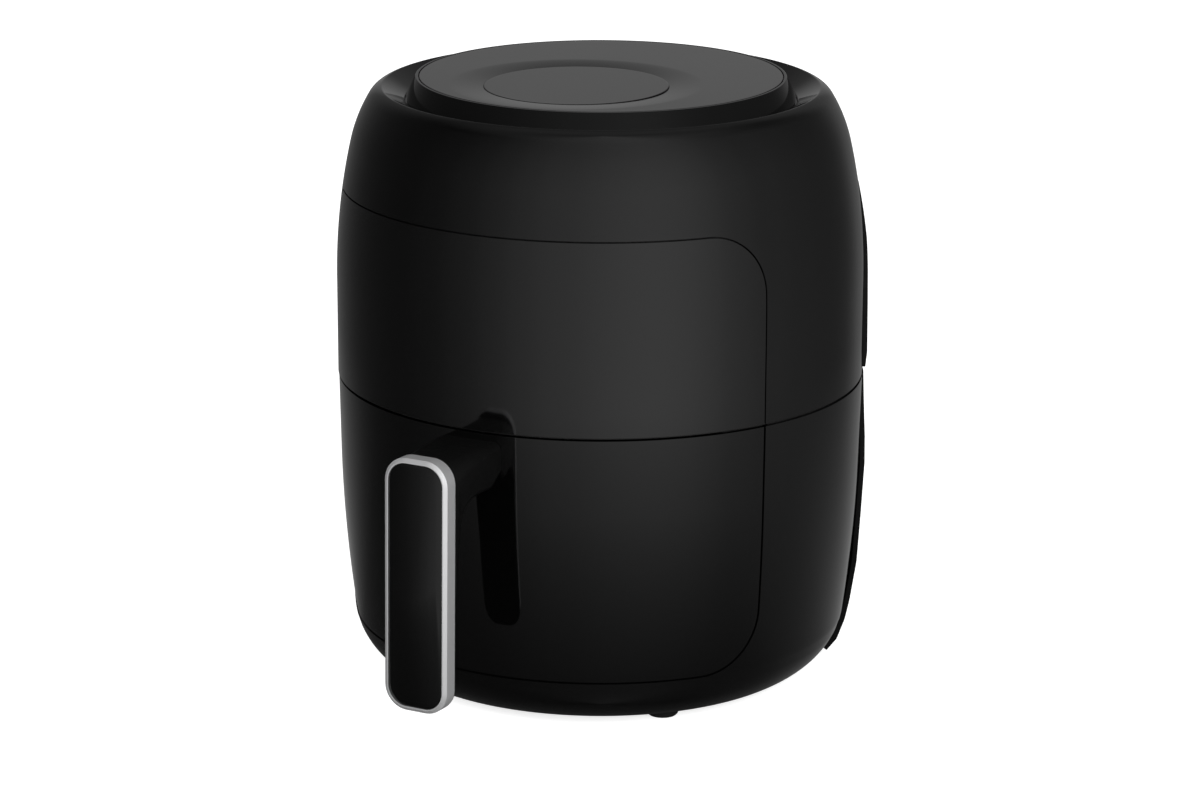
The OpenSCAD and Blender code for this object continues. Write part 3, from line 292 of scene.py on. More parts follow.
def window_wall(name, z_open, z_edge, radius, beyond, columns=240, size=2.5):
    """The wall round the window, as a skin facing out. beyond goes on from the window's level
    edge, away from the belt, as (radius, height) points."""
    front = 110                       # columns along the window's level edge
    rows_beside = []
    for z in window_heights(z_open, z_edge, 0.0, size):
        r = radius(z)
        side = window_side(z, z_edge, 0.0, r)
        rows_beside.append([at(r, side + (360 - 2 * side) * j / columns, z) for j in range(columns + 1)])
    az_last = [CORNER_AZ + (360 - 2 * CORNER_AZ) * j / columns for j in range(columns + 1)]
    az_front = [CORNER_AZ * (2 * j / front - 1) for j in range(1, front)]
    ring = az_last + az_front
    rows_beyond = [[at(r, az, z) for az in ring] for r, z in [(radius(z_edge), z_edge)] + beyond]

    n_side, n_ring = columns + 1, len(ring)
    points = [p for row in rows_beside[:-1] for p in row]
    start = len(points)
    points += [p for row in rows_beyond for p in row]
    faces = []
    for i in range(len(rows_beside) - 1):
        above = (i + 1) * n_side if i + 1 < len(rows_beside) - 1 else start
        for j in range(columns):
            faces.append((i * n_side + j, i * n_side + j + 1, above + j + 1, above + j))
    for i in range(len(rows_beyond) - 1):
        a = start + i * n_ring
        for j in range(n_ring):
            k = (j + 1) % n_ring
            faces.append((a + j, a + k, a + n_ring + k, a + n_ring + j))
    if z_edge < BELT_Z:
        faces = [f[::-1] for f in faces]
    return mesh_object(name, points, faces)


# ---------------------------------------------------------------- materials
def new_node(tree, kind, **inputs):
    """Adds a node. Each input, named with _ for a space, is a value to set or an output to link."""
    node = tree.nodes.new(kind)
    for key, value in inputs.items():
        socket = node.inputs[key.replace("_", " ")]
        if isinstance(value, bpy.types.NodeSocket):
            tree.links.new(value, socket)
        else:
            socket.default_value = value
    return node


def feed(mat, source, socket):
    """Links an output to one of the shader's sockets."""
    mat.node_tree.links.new(source, mat.node_tree.nodes["Principled BSDF"].inputs[socket])


def material(name, color, roughness, metallic=0.0, specular=0.5):
    mat = bpy.data.materials.new(name)
    mat.use_nodes = True
    bsdf = mat.node_tree.nodes["Principled BSDF"]
    bsdf.inputs["Base Color"].default_value = (*color, 1.0)
    bsdf.inputs["Roughness"].default_value = roughness
    bsdf.inputs["Metallic"].default_value = metallic
    bsdf.inputs["Specular IOR Level"].default_value = specular
    return mat


def noise(mat, scale, detail=4.0, stretch=(1.0, 1.0, 1.0)):
    """Noise over the piece, in its own coordinates. scale is in waves per metre."""
    tree = mat.node_tree
    place = new_node(tree, "ShaderNodeTexCoord").outputs["Object"]
    mapping = new_node(tree, "ShaderNodeMapping", Vector=place, Scale=stretch)
    texture = new_node(tree, "ShaderNodeTexNoise", Vector=mapping.outputs["Vector"],
                       Scale=scale, Detail=detail)
    return texture.outputs["Fac"]


def vary(mat, socket, source, low, high):
    """Drives one of the shader's sockets from a noise, between low and high."""
    spread = new_node(mat.node_tree, "ShaderNodeMapRange", Value=source, From_Min=0.3, From_Max=0.7,
                      To_Min=low, To_Max=high)
    feed(mat, spread.outputs["Result"], socket)


def tint(mat, source, dark, light):
    """Varies the base colour between two close tones."""
    blend = new_node(mat.node_tree, "ShaderNodeValToRGB", Fac=source)
    for element, place, tone in zip(blend.color_ramp.elements, (0.35, 0.65), (dark, light)):
        element.position = place
        element.color = (*tone, 1.0)
    feed(mat, blend.outputs["Color"], "Base Color")


def bump(mat, source, strength, distance):
    """Raises the surface by a noise; distance is in metres."""
    node = new_node(mat.node_tree, "ShaderNodeBump", Height=source, Strength=strength, Distance=distance)
    feed(mat, node.outputs["Normal"], "Normal")


def grey(v):
    return (v, v, v)


def gloss(name, tone, roughness, specular=0.5):
    """Polished black plastic: a faint orange peel and slightly uneven polish."""
    mat = material(name, grey(tone), roughness, specular=specular)
    vary(mat, "Roughness", noise(mat, 18), roughness * 0.85, roughness * 1.15)
    tint(mat, noise(mat, 6), grey(tone * 0.9), grey(tone * 1.1))
    bump(mat, noise(mat, 160, 2.0), 0.02, 0.0002)
    return mat


def grained(name, color, roughness, scale=2500, depth=0.00008, specular=0.5):
    """Matt moulded plastic, rubber or ceramic with a fine spark-eroded grain."""
    mat = material(name, color, roughness, specular=specular)
    tint(mat, noise(mat, 40), tuple(c * 0.85 for c in color), tuple(c * 1.15 for c in color))
    vary(mat, "Roughness", noise(mat, 300), roughness - 0.06, min(1.0, roughness + 0.06))
    bump(mat, noise(mat, scale, 2.0), 0.5, depth)
    return mat


def metal(name, color, roughness, stretch=(1.0, 1.0, 1.0), scale=400):
    """Metal whose finish varies along its grain."""
    mat = material(name, color, roughness, metallic=1.0)
    grain = noise(mat, scale, 5.0, stretch)
    vary(mat, "Roughness", grain, roughness * 0.8, roughness * 1.25)
    bump(mat, grain, 0.15, 0.00005)
    return mat


FINISH = {
    "body_gloss": gloss("body_gloss", 0.0012, 0.05),
    "front_gloss": gloss("front_gloss", 0.0016, 0.08, specular=0.57),
    "panel_gloss": gloss("panel_gloss", 0.002, 0.12),
    "window_gloss": gloss("window_gloss", 0.003, 0.06),
    "ring_gloss": gloss("ring_gloss", 0.004, 0.06, specular=0.16),
    "matte_black": grained("matte_black", grey(0.003), 0.45, 1800, 0.00004),
    "cover_black": grained("cover_black", grey(0.0022), 0.45, 1800, 0.00004, specular=0.2),
    "neck_black": grained("neck_black", grey(0.002), 0.42, 1800, 0.00004, specular=0.36),
    "inner_plastic": grained("inner_plastic", grey(0.008), 0.55),
    "satin_frame": material("satin_frame", (0.93, 0.93, 0.94), 0.36, metallic=0.75),
    "bright_steel": metal("bright_steel", (0.62, 0.62, 0.63), 0.24, stretch=(1.0, 1.0, 12.0)),
    "screw_steel": metal("screw_steel", (0.55, 0.55, 0.56), 0.3),
    "element_black": grained("element_black", (0.035, 0.033, 0.032), 0.5, 900),
    "nonstick": grained("nonstick", grey(0.028), 0.38, 1600, 0.00005),
    "cast_fan": metal("cast_fan", (0.5, 0.5, 0.52), 0.4),
    "foot_rubber": grained("foot_rubber", grey(0.01), 0.8, 1800),
    "silicone": grained("silicone", grey(0.09), 0.6, 1200),
    "ceramic": grained("ceramic", (0.75, 0.72, 0.64), 0.45, 1000),
    "board_green": grained("board_green", (0.02, 0.11, 0.04), 0.4, 700),
    "brass": metal("brass", (0.78, 0.57, 0.26), 0.28),
}


def dress(obj, slot, body=None, replaces=(), finish=None):
    """Gives a piece its finish, its body and the CAD nodes it stands for. The finish is the slot's
    own unless another is named."""
    obj.data.materials.clear()
    obj.data.materials.append(FINISH[finish or slot])
    if body:
        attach(obj, body)
    if replaces:
        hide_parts(*replaces)


# ---------------------------------------------------------------- CAD nodes that show as they are
NODE_EDGE = 0.2           # rounding of their edges
NODE_ANGLE = 35           # where they turn by more than this
NODE_WELD = 0.01          # points nearer than this are one
SLOT_OF = {part["node"]: part["material_slot"] for part in frame["record"]["subparts"]}
for name, obj in NODES.items():
    dress(obj, SLOT_OF[name])
    modify(obj, "WELD", merge_threshold=NODE_WELD * MM)
    obj.data.shade_smooth()
    modify(obj, "BEVEL", width=NODE_EDGE * MM, segments=2, limit_method="ANGLE",
           angle_limit=math.radians(NODE_ANGLE))
    modify(obj, "WEIGHTED_NORMAL", keep_sharp=False)


# ---------------------------------------------------------------- body shells
HEEL_ROWS = HEEL_START + 14     # slope at which the rows of the heel itself start
HEEL_CLEAR = 0.5                # they keep this far from the row at the drawer's lower edge
heel = [HEEL_C + turn(HEEL_R, -a) for a in steps(HEEL_ROWS, HEEL_END, 3)]
heel = [(p.x, p.y) for p in heel if p.y < DRAWER_BOTTOM - HEEL_CLEAR]
lower = window_wall("lower_shell", BELT_LOW, DRAWER_BOTTOM, lower_radius, heel)
thicken(lower, WALL)
dress(lower, "body_gloss", "housing", ["lower_housing"])

shoulder_top = CREST_C.y + CREST_R * sin_d(SHOULDER_END)
rise = [(upper_radius(z), z) for z in steps(PANEL_TOP, shoulder_top, 1.5)[1:]]
crest = [CREST_C + turn(CREST_R, a) for a in steps(SHOULDER_END, CREST_END, 4)[1:]]
edge_c = CREST_C + turn(CREST_R - CREST_EDGE, CREST_END)
crest += [edge_c + turn(CREST_EDGE, a) for a in steps(CREST_END, MOAT_END, 9)[1:]]
ring_out = LIP_R + LIP_W + CONE_W
moat_z = TOTAL_H - CONE_H - MOAT_DEPTH
moat = [(ring_out + out, moat_z + up) for out, up in MOAT_ROWS]
upper = window_wall("upper_shell", BELT_HIGH, PANEL_TOP, upper_radius,
                    rise + [(p.x, p.y) for p in crest] + moat)
thicken(upper, WALL)
dress(upper, "body_gloss", "housing", ["upper_housing"])

panel = window_patch("front_panel_skin", BELT_HIGH, PANEL_TOP, -SEAM, upper_radius)
thicken(panel, WALL)
dress(panel, "body_gloss", "housing", ["front_panel"], finish="front_gloss")
lip = window_patch("front_panel_lip", BELT_HIGH + WALL, PANEL_TOP, LIP,
                   lambda z: upper_radius(z, WALL + LIP_STEP), columns=60, size=6)
thicken(lip, LIP_T, edge=0.2)
dress(lip, "inner_plastic", "housing")

drawer = window_patch("drawer_skin", BELT_LOW - DRAWER_DROP, DRAWER_BOTTOM, -SEAM,
                      lambda z: lower_radius(z, DRAWER_STEP))
thicken(drawer, DRAWER_T)
dress(drawer, "body_gloss", "drawer", ["drawer_front"])

# ---------------------------------------------------------------- top
ledge_z = TOTAL_H - PANEL_T
ring = lathe("top_ring_gloss", [
    (LIP_R, ledge_z), (LIP_R, TOTAL_H), (LIP_R + LIP_W, TOTAL_H), (ring_out, TOTAL_H - CONE_H),
    (ring_out, moat_z), (LIP_R - LEDGE, moat_z), (LIP_R - LEDGE, ledge_z), (LIP_R, ledge_z)])
round_edges(ring, edge=0.3)
dress(ring, "body_gloss", "housing", ["top_ring"], finish="ring_gloss")


def dish_height(r):
    """The dish falls ever more steeply from its rim to the display."""
    t = min(1.0, max(0.0, (r - WINDOW_R) / (DISH_R - WINDOW_R)))
    return TOTAL_H - DISH_DEPTH * (1 - t) ** DISH_CURVE


def panel_rows(radii):
    """Rows of these radii round the display's centre, then rows spread out to the panel's rim."""
    edge = LIP_R - PANEL_GAP
    centre = Vector((0, -WINDOW_SHIFT))
    ways = [turn(1, 360 * j / TURN_COLUMNS - 90) for j in range(TURN_COLUMNS)]
    rows = [[centre + way * r for way in ways] for r in radii]
    heights = [dish_height(r) for r in radii]
    for share in steps(0, 1, 1 / RIM_ROWS)[1:]:
        row = []
        for start, way in zip([centre + way * DISH_R for way in ways], ways):
            along = start.dot(way)
            reach = -along + math.sqrt(along ** 2 + edge ** 2 - start.length_squared)
            row.append(start + way * reach * share)
        rows.append(row)
        heights.append(TOTAL_H)
    return [[Vector((p.x, p.y + AXIS_Y, z)) * MM for p in row] for row, z in zip(rows, heights)]


dish_radii = [WINDOW_R + WINDOW_GAP] + steps(WINDOW_R + 1, DISH_R, 1)
top = rows_to_mesh("control_panel_skin", panel_rows(dish_radii), wrap=True, flip=True)
thicken(top, PANEL_T, edge=0.3)
dress(top, "panel_gloss", "housing", ["control_panel"])

window_top = TOTAL_H - DISH_DEPTH
window_low = window_top - WINDOW_T
disc = [(r, window_top) for r in [TINY] + steps(DISC_ROWS, WINDOW_R - WINDOW_FLAT, DISC_ROWS)]
disc += [(WINDOW_R - inset, window_top - drop) for inset, drop in WINDOW_EDGE]
disc += [(WINDOW_R, window_low), (TINY, window_low)]
window = lathe("display_glass", disc, centre=(0.0, -WINDOW_SHIFT))
for vertex in window.data.vertices:
    back = (vertex.co.y / MM - AXIS_Y + WINDOW_SHIFT + WINDOW_R) / (2 * WINDOW_R)
    vertex.co.z += (WINDOW_FRONT + (WINDOW_BACK - WINDOW_FRONT) * back) * MM
dress(window, "window_gloss", "housing", ["display_window"])

# ---------------------------------------------------------------- rear covers
COVER_AZ = 117.5          # the covers' upright edges, from straight ahead
COVER_TOP = 265
COVER_LOW = 3
COVER_T = 3
COVER_EDGE = 0.5
COVER_ROWS = 2.2          # distance between the covers' rows
# how far the upper cover stands out of the wall at a height, and the lower cover's radius
UPPER_PROUD = [(163, 2.0), (172, 2.9), (200, 2.6), (234, 2.0), (250, 1.1), (265, 0.2)]
LOWER_COVER = [(3, 124.0), (9.6, 129.4), (21, 133.6), (32, 136.0), (54, 139.4), (80, 141.0), (110, 142.6),
               (125, 142.4), (144, 141.5), (163, 140.8)]
HOOD_W = 112
HOOD_H = 56
HOOD_Z = 214
HOOD_CORNER = 8
HOOD_WALL = 3
HOOD_DEEP = 14            # the hood starts this far inside the body's wall
HOOD_LAP = 4              # the cover's skin goes this far in behind the hood's outline
GLAND_Z = 58
GLAND_LAP = 1.5           # and this far in behind the gland's
GLAND_HOLE = 9.2


def between(stops, z):
    """Value at z on a line through (z, value) stops."""
    for (z0, v0), (z1, v1) in zip(stops, stops[1:]):
        if z <= z1:
            return v0 + (v1 - v0) * max(0.0, z - z0) / (z1 - z0)
    return stops[-1][1]


def rear_cover(name, heights, radius, opening):
    """Skin round the back from one upright edge to the other, left open where opening(x, z)."""
    columns = 156
    angles = [COVER_AZ + (360 - 2 * COVER_AZ) * j / columns for j in range(columns + 1)]
    rows = [[at(radius(z), az, z) for az in angles] for z in heights]
    cover = rows_to_mesh(name, rows)
    mesh = bmesh.new()
    mesh.from_mesh(cover.data)
    middles = [(face, face.calc_center_median() / MM) for face in mesh.faces]
    cut = [face for face, middle in middles if opening(middle.x, middle.z)]
    bmesh.ops.delete(mesh, geom=cut, context="FACES")
    mesh.to_mesh(cover.data)
    mesh.free()
    thicken(cover, COVER_T, COVER_EDGE)
    return cover


def hood_loop(inset, reach):
    """Loop round the hood at a distance behind the body's axis."""
    r = HOOD_CORNER - inset
    return [Vector((-x, AXIS_Y + reach, HOOD_Z + z)) * MM
            for x, z in round_rect(HOOD_W - 2 * inset, HOOD_H - 2 * inset, r, r)]


def in_hood(x, z):
    return abs(x) < HOOD_W / 2 - HOOD_LAP and abs(z - HOOD_Z) < HOOD_H / 2 - HOOD_LAP


def in_gland(x, z):
    return math.hypot(x, z - GLAND_Z) < GLAND_HOLE - GLAND_LAP


upper_cover = rear_cover("rear_cover_upper_skin", steps(BELT_HIGH, COVER_TOP, COVER_ROWS),
                         lambda z: upper_radius(z) + between(UPPER_PROUD, z), in_hood)
dress(upper_cover, "matte_black", "housing", ["rear_cover_upper"], finish="cover_black")
lower_cover = rear_cover("rear_cover_lower_skin", steps(COVER_LOW, BELT_LOW, COVER_ROWS),
                         lambda z: between(LOWER_COVER, z), in_gland)
dress(lower_cover, "matte_black", "housing", ["rear_cover_lower"], finish="cover_black")

hood_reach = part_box("rear_cover_upper")[1].y / MM - AXIS_Y
hood_start = BODY_R - HOOD_DEEP
hood_loops = [(0, hood_start), (0, hood_reach), (HOOD_WALL, hood_reach), (HOOD_WALL, hood_start)]
hood = loops_to_mesh("rear_hood", [hood_loop(*loop) for loop in hood_loops], closed=True)
round_edges(hood, edge=0.6)
dress(hood, "matte_black", "housing", finish="cover_black")

# ---------------------------------------------------------------- handle
HANDLE_W = 36.2
HANDLE_TOP = 160.7
HANDLE_L = 131.9
HANDLE_CORNER = 12.5
HANDLE_OUT = 52.7                 # from the body's wall to the handle's face, at the top
HANDLE_REACH = BODY_R + HANDLE_OUT
HANDLE_LEAN = math.radians(1.1)
FRAME_W = 2.4
FRAME_D = 9
FRAME_RIM = 0.6                   # flat rim beside the insert; a bevel falls from it to the sides
FRAME_BEVEL = 1.4
INSERT_STEP = 0.3                 # the insert lies this far behind the frame's edge
INSERT_GAP = 0.15
INSERT_EDGE = 0.2
INSERT_T = 2
GRIP_T = 5                        # thickness of the grip behind the frame
GRIP_FRONT = HANDLE_REACH - FRAME_D
GRIP_BACK = GRIP_FRONT - GRIP_T
# the grip's back behind the frame: inset from the handle's outline and depth behind the frame
BACK_EDGE = [(4, 1.2), (0.6, 1.1), (0.2, 0.8), (0.2, 0.2), (0.6, -0.5)]
NECK_INSET = 0.3                  # the neck's sides lie this far inside the handle's
NECK_DROP = 2.4                   # and its top this far below the handle's
NECK_H = 22.6
NECK_W = HANDLE_W - 2 * NECK_INSET
NECK_TOP = HANDLE_TOP - NECK_DROP
NECK_LOW = NECK_TOP - NECK_H
NECK_DEEP = 6                     # the neck starts this far inside the body's wall
NECK_FILLET = 17
NECK_FLARE = 6                    # the neck is thinner by this much where it meets the body
FLARE_DEEP = 4                    # the flare starts this far inside the body's wall
FLARE_RUN = 12                    # and is over after this
NECK_ROUND = (4.5, 7)             # radius of its upper edges at the body, and growth to the grip
NECK_ROUND_LOW = 3
GRIP_RUN = 32                     # height over which the grip's back runs out below the fillet


def handle_loop(inset, depth):
    """Loop round the handle, inset from its outline, at a depth behind its face, leaned out."""
    loop = []
    r = HANDLE_CORNER - inset
    cos_lean, sin_lean = math.cos(HANDLE_LEAN), math.sin(HANDLE_LEAN)
    for x, z in round_rect(HANDLE_W - 2 * inset, HANDLE_L - 2 * inset, r, r):
        z -= HANDLE_L / 2
        loop.append(Vector((x, AXIS_Y - HANDLE_REACH + depth * cos_lean + z * sin_lean,
                            HANDLE_TOP + z * cos_lean - depth * sin_lean)) * MM)
    return loop


def neck_loop(reach):
    """Cross-section of the neck and grip at a distance ahead of the body's axis."""
    t = min(1.0, max(0.0, (reach - BODY_R + FLARE_DEEP) / FLARE_RUN))
    low = NECK_LOW + NECK_FLARE * (1 - t * t * (3 - 2 * t))
    bend = reach - (GRIP_BACK - NECK_FILLET)
    if bend > NECK_FILLET:
        low = NECK_LOW - NECK_FILLET - GRIP_RUN * (bend - NECK_FILLET) / (GRIP_FRONT - GRIP_BACK)
    elif bend > 0:
        low = NECK_LOW - NECK_FILLET + math.sqrt(NECK_FILLET ** 2 - bend ** 2)
    share = (reach - BODY_R) / (GRIP_FRONT - BODY_R)
    r_top = NECK_ROUND[0] + NECK_ROUND[1] * max(0.0, share) ** 2
    height = NECK_TOP - low
    r_low = min(NECK_ROUND_LOW, height / 3)
    return [Vector((x, AXIS_Y - reach, z + NECK_TOP - height / 2)) * MM
            for x, z in round_rect(NECK_W, height, r_top, r_low)]


frame_loops = [(0, FRAME_D), (0, FRAME_BEVEL), (FRAME_W - FRAME_RIM, 0), (FRAME_W, 0), (FRAME_W, FRAME_D)]
frame_piece = loops_to_mesh("handle_frame_ring", [handle_loop(*loop) for loop in frame_loops], closed=True)
round_edges(frame_piece, edge=0.12, segments=2, angle=20)
dress(frame_piece, "satin_frame", "drawer", ["handle_frame"])

insert_in = FRAME_W + INSERT_GAP
insert_loops = [(insert_in, INSERT_STEP + INSERT_T), (insert_in, INSERT_STEP + INSERT_EDGE),
                (insert_in + INSERT_EDGE, INSERT_STEP)]
insert_piece = loops_to_mesh("handle_insert_plate", [handle_loop(*loop) for loop in insert_loops])
dress(insert_piece, "window_gloss", "drawer", ["handle_insert"], finish="body_gloss")

neck_steps = steps(BODY_R - NECK_DEEP, GRIP_BACK - NECK_FILLET, 2)
neck_steps += [GRIP_BACK - NECK_FILLET * (1 - sin_d(a)) for a in steps(0, 90, 6)[1:]]
neck_steps += steps(GRIP_BACK, GRIP_FRONT, 1)[1:]
neck_piece = loops_to_mesh("handle_neck", [neck_loop(reach) for reach in neck_steps])
dress(neck_piece, "matte_black", "drawer", ["handle_body"], finish="neck_black")
back_loops = [handle_loop(inset, FRAME_D + depth) for inset, depth in BACK_EDGE]
back_piece = loops_to_mesh("handle_grip_back", back_loops)
dress(back_piece, "matte_black", "drawer")

# ---------------------------------------------------------------- stage: table, room and lamps
# How bright the room is round the object, by azimuth from straight ahead towards +X
ROOM_ROUND = [(-180, 0.18), (-150, 0.14), (-127, 0.12), (-105, 0.075), (-79, 0.05), (-59, 0.065), (-42, 0.12),
              (-26, 0.22), (-12, 0.35), (2, 0.49), (22, 0.64), (48, 0.82), (69, 0.73), (83, 0.53), (99, 0.36),
              (116, 0.27), (135, 0.17), (160, 0.11), (180, 0.18)]
# and the share of that which is left at the sine of an elevation
ROOM_RISE = [(-1.0, 1.0), (0.2, 1.0), (0.6, 0.85), (0.87, 0.65), (1.0, 0.5)]
CEILING = (0.7, 1.0)         # sines of the elevations between which a faint ceiling comes in
CEILING_GLOW = 0.18
BACK_CARD = (-151.6, 6.0)    # azimuth and elevation of the pale card behind the object
CARD_SPREAD = 20             # degrees over which it fades
CARD_GLOW = 0.14
EVEN_LIGHT = 0.5             # what diffuse surfaces get from all sides

TABLE_HALF = 14.0            # half its width, in metres
TABLE_TONE = 0.8
TABLE_GLOW = 0.80            # makes it white to the camera, with the object's shadow left on it
# Painted shade on the table next to the object, as its gloss sees it: the strength of a glow there, by
# azimuth, darkest in front
TABLE_SHADE_ROUND = [(-180, 0.40), (-135, 0.38), (-110, 0.32), (-92, 0.20), (-75, 0.06), (-30, 0.04), (30, 0.03),
               (60, 0.03), (85, 0.09), (118, 0.21), (150, 0.32), (180, 0.36)]
# Over these distances the glow of painted shade on the table fades out, and the gloss sees the room instead.
TABLE_NEAR = (0.17, 0.1)     # distance from the axis in metres, and how clear the table is there
TABLE_FAR = (0.75, 1.0)      # to the object's gloss, which sees the room through it

LAMP_SIZE = 1.2              # metres
LAMP_AIM = (0, 0, 0.15)


def scalar(tree, operation, a, b):
    """Arithmetic on two values or outputs."""
    node = tree.nodes.new("ShaderNodeMath")
    node.operation = operation
    for socket, value in zip(node.inputs, (a, b)):
        if isinstance(value, (int, float)):
            socket.default_value = value
        else:
            tree.links.new(value, socket)
    return node.outputs[0]


def vector(tree, operation, a, b=(0, 0, 0)):
    """Arithmetic on an output and a vector."""
    node = tree.nodes.new("ShaderNodeVectorMath")
    node.operation = operation
    tree.links.new(a, node.inputs[0])
    node.inputs[1].default_value = b
    return node.outputs


def ramp(tree, source, stops):
    """Brightness along source, which runs from 0 to 1, through (place, value) stops."""
    node = new_node(tree, "ShaderNodeValToRGB", Fac=source)
    node.color_ramp.interpolation = "CARDINAL"
    elements = node.color_ramp.elements
    while len(elements) < len(stops):
        elements.new(0.5)
    for element, (place, _) in zip(elements, stops):
        element.position = place
    for element, (_, value) in zip(elements, stops):
        element.color = (*grey(value), 1)
    return node.outputs["Color"]


def by_azimuth(tree, x, y, stops):
    """Brightness by azimuth from straight ahead towards +X, through (degrees, value) stops."""
    angle = scalar(tree, "ARCTAN2", x, scalar(tree, "MULTIPLY", y, -1.0))
    share = scalar(tree, "ADD", scalar(tree, "DIVIDE", angle, 2 * math.pi), 0.5)
    return ramp(tree, share, [(az / 360 + 0.5, v) for az, v in stops])


def fade(tree, source, start, end, curve="SMOOTHSTEP"):
    """Goes from one (place, value) along source to another, and stays level beyond them."""
    node = new_node(tree, "ShaderNodeMapRange", Value=source, From_Min=start[0], From_Max=end[0],
                    To_Min=start[1], To_Max=end[1])
    node.interpolation_type = curve
    return node.outputs["Result"]


def mix(tree, share, a, b):
    """One shader where share is 0, the other where it is 1."""
    node = tree.nodes.new("ShaderNodeMixShader")
    for socket, source in zip(node.inputs, (share, a, b)):
        tree.links.new(source, socket)
    return node.outputs[0]


def background(tree, strength):
    node = new_node(tree, "ShaderNodeBackground", Color=(1, 1, 1, 1), Strength=strength)
    return node.outputs[0]


def direction(azimuth, elevation):
    """Unit vector at an azimuth from straight ahead towards +X and an elevation, in degrees."""
    a, e = math.radians(azimuth), math.radians(elevation)
    return Vector((math.sin(a) * math.cos(e), -math.cos(a) * math.cos(e), math.sin(e)))


def stage_world():
    """White behind the object, an even light for its diffuse surfaces, and a softly graded room
    for its reflections."""
    world = bpy.data.worlds.new("studio")
    bpy.context.scene.world = world
    world.use_nodes = True
    tree = world.node_tree
    tree.nodes.clear()
    way = new_node(tree, "ShaderNodeTexCoord").outputs["Generated"]
    x, y, z = new_node(tree, "ShaderNodeSeparateXYZ", Vector=way).outputs
    half_rise = scalar(tree, "MULTIPLY", scalar(tree, "ADD", z, 1.0), 0.5)
    rise = ramp(tree, half_rise, [(sine / 2 + 0.5, v) for sine, v in ROOM_RISE])
    room = scalar(tree, "MULTIPLY", by_azimuth(tree, x, y, ROOM_ROUND), rise)
    towards_card = vector(tree, "DOT_PRODUCT", way, direction(*BACK_CARD))["Value"]
    card = fade(tree, towards_card, (math.cos(math.radians(CARD_SPREAD)), 0.0), (1.0, CARD_GLOW))
    ceiling = fade(tree, z, (CEILING[0], 0.0), (CEILING[1], CEILING_GLOW))
    room = scalar(tree, "ADD", scalar(tree, "ADD", room, card), ceiling)

    path = new_node(tree, "ShaderNodeLightPath").outputs
    seen = scalar(tree, "MAXIMUM", path["Is Camera Ray"], path["Is Transmission Ray"])
    light = mix(tree, path["Is Glossy Ray"], background(tree, EVEN_LIGHT), background(tree, room))
    new_node(tree, "ShaderNodeOutputWorld", Surface=mix(tree, seen, light, background(tree, 1.0)))


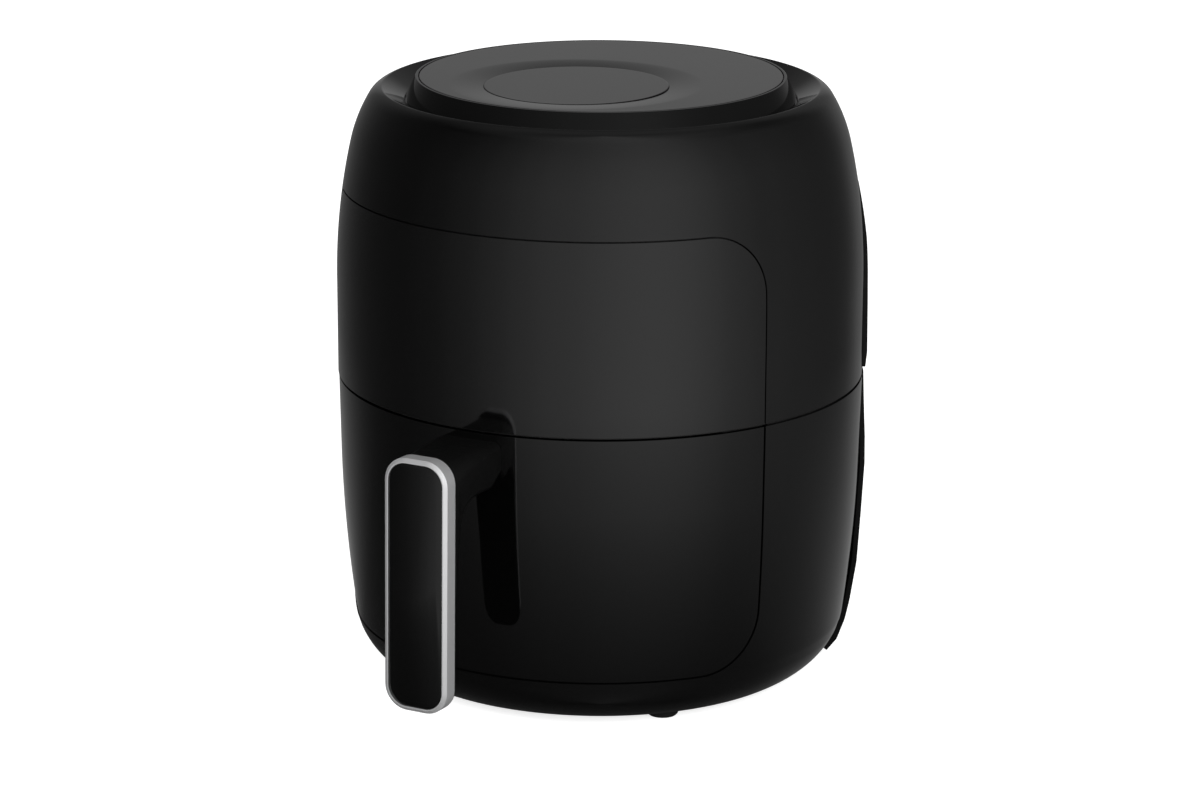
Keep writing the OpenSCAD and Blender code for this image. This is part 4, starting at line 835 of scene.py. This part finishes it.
def stage_floor():
    """A white table that keeps the object's shadow. Reflections see the room through it, and close to the
    object a glow of painted shade, darker where the object would shade the table."""
    half = TABLE_HALF
    obj = mesh_object("table", [(-half, -half, 0), (half, -half, 0), (half, half, 0), (-half, half, 0)],
                      [(0, 1, 2, 3)])
    mat = bpy.data.materials.new("table_white")
    mat.use_nodes = True
    tree = mat.node_tree
    tree.nodes.clear()
    surface = new_node(tree, "ShaderNodeBsdfDiffuse", Color=(*grey(TABLE_TONE), 1)).outputs[0]
    glow = new_node(tree, "ShaderNodeEmission", Strength=TABLE_GLOW).outputs[0]
    seen = tree.nodes.new("ShaderNodeAddShader")
    tree.links.new(surface, seen.inputs[0])
    tree.links.new(glow, seen.inputs[1])

    place = new_node(tree, "ShaderNodeNewGeometry").outputs["Position"]
    from_axis = vector(tree, "SUBTRACT", place, (0, AXIS_Y * MM, 0))["Vector"]
    x, y, _ = new_node(tree, "ShaderNodeSeparateXYZ", Vector=from_axis).outputs
    distance = vector(tree, "LENGTH", from_axis)["Value"]
    clear = fade(tree, distance, TABLE_NEAR, TABLE_FAR, curve="LINEAR")
    # Painted shade: a glow whose strength by azimuth stands for the object's shade on the table, as its gloss
    # sees it.
    painted_table_shade = new_node(tree, "ShaderNodeEmission", Strength=by_azimuth(tree, x, y, TABLE_SHADE_ROUND)).outputs[0]
    through = new_node(tree, "ShaderNodeBsdfTransparent").outputs[0]
    mirrored = mix(tree, clear, painted_table_shade, through)

    path = new_node(tree, "ShaderNodeLightPath").outputs
    unseen = mix(tree, path["Is Glossy Ray"], surface, mirrored)
    final = mix(tree, path["Is Camera Ray"], unseen, seen.outputs[0])
    new_node(tree, "ShaderNodeOutputMaterial", Surface=final)
    obj.data.materials.append(mat)


def lamp(name, place, power):
    """Soft square lamp aimed at the object, which its gloss doesn't mirror."""
    data = bpy.data.lights.new(name, "AREA")
    data.shape = "RECTANGLE"
    data.size = data.size_y = LAMP_SIZE
    data.energy = power
    obj = bpy.data.objects.new(name, data)
    obj.location = place
    obj.rotation_euler = (Vector(LAMP_AIM) - Vector(place)).to_track_quat("-Z", "Y").to_euler()
    obj.visible_glossy = False
    bpy.context.scene.collection.objects.link(obj)


stage_floor()
stage_world()
lamp("key", place=(2.0, -1.5, 1.4), power=45)
lamp("fill", place=(-1.2, -2.0, 1.6), power=20)

# ---------------------------------------------------------------- camera
CAMERA_AWAY = 2.1       # from the body's axis, in metres
CAMERA_HEIGHT = 0.7398
CAMERA_DOWN = math.radians(15.84)
CAMERA_ROUND = math.radians(28.39)
CAMERA_ROLL = math.radians(0.2)
CAMERA_LENS = 122.1     # and its sensor's width, in millimetres
CAMERA_SENSOR = 36
camera_data = bpy.data.cameras.new("camera")
camera_data.lens = CAMERA_LENS
camera_data.sensor_width = CAMERA_SENSOR
camera = bpy.data.objects.new("camera", camera_data)
camera.location = (CAMERA_AWAY * math.sin(CAMERA_ROUND), AXIS_Y * MM - CAMERA_AWAY * math.cos(CAMERA_ROUND),
                   CAMERA_HEIGHT)
camera.rotation_euler = (Matrix.Rotation(CAMERA_ROUND, 3, "Z")
                         @ Matrix.Rotation(math.pi / 2 - CAMERA_DOWN, 3, "X")
                         @ Matrix.Rotation(CAMERA_ROLL, 3, "Z")).to_euler()
bpy.context.scene.collection.objects.link(camera)
bpy.context.scene.camera = camera
bpy.context.scene.view_settings.view_transform = "Standard"
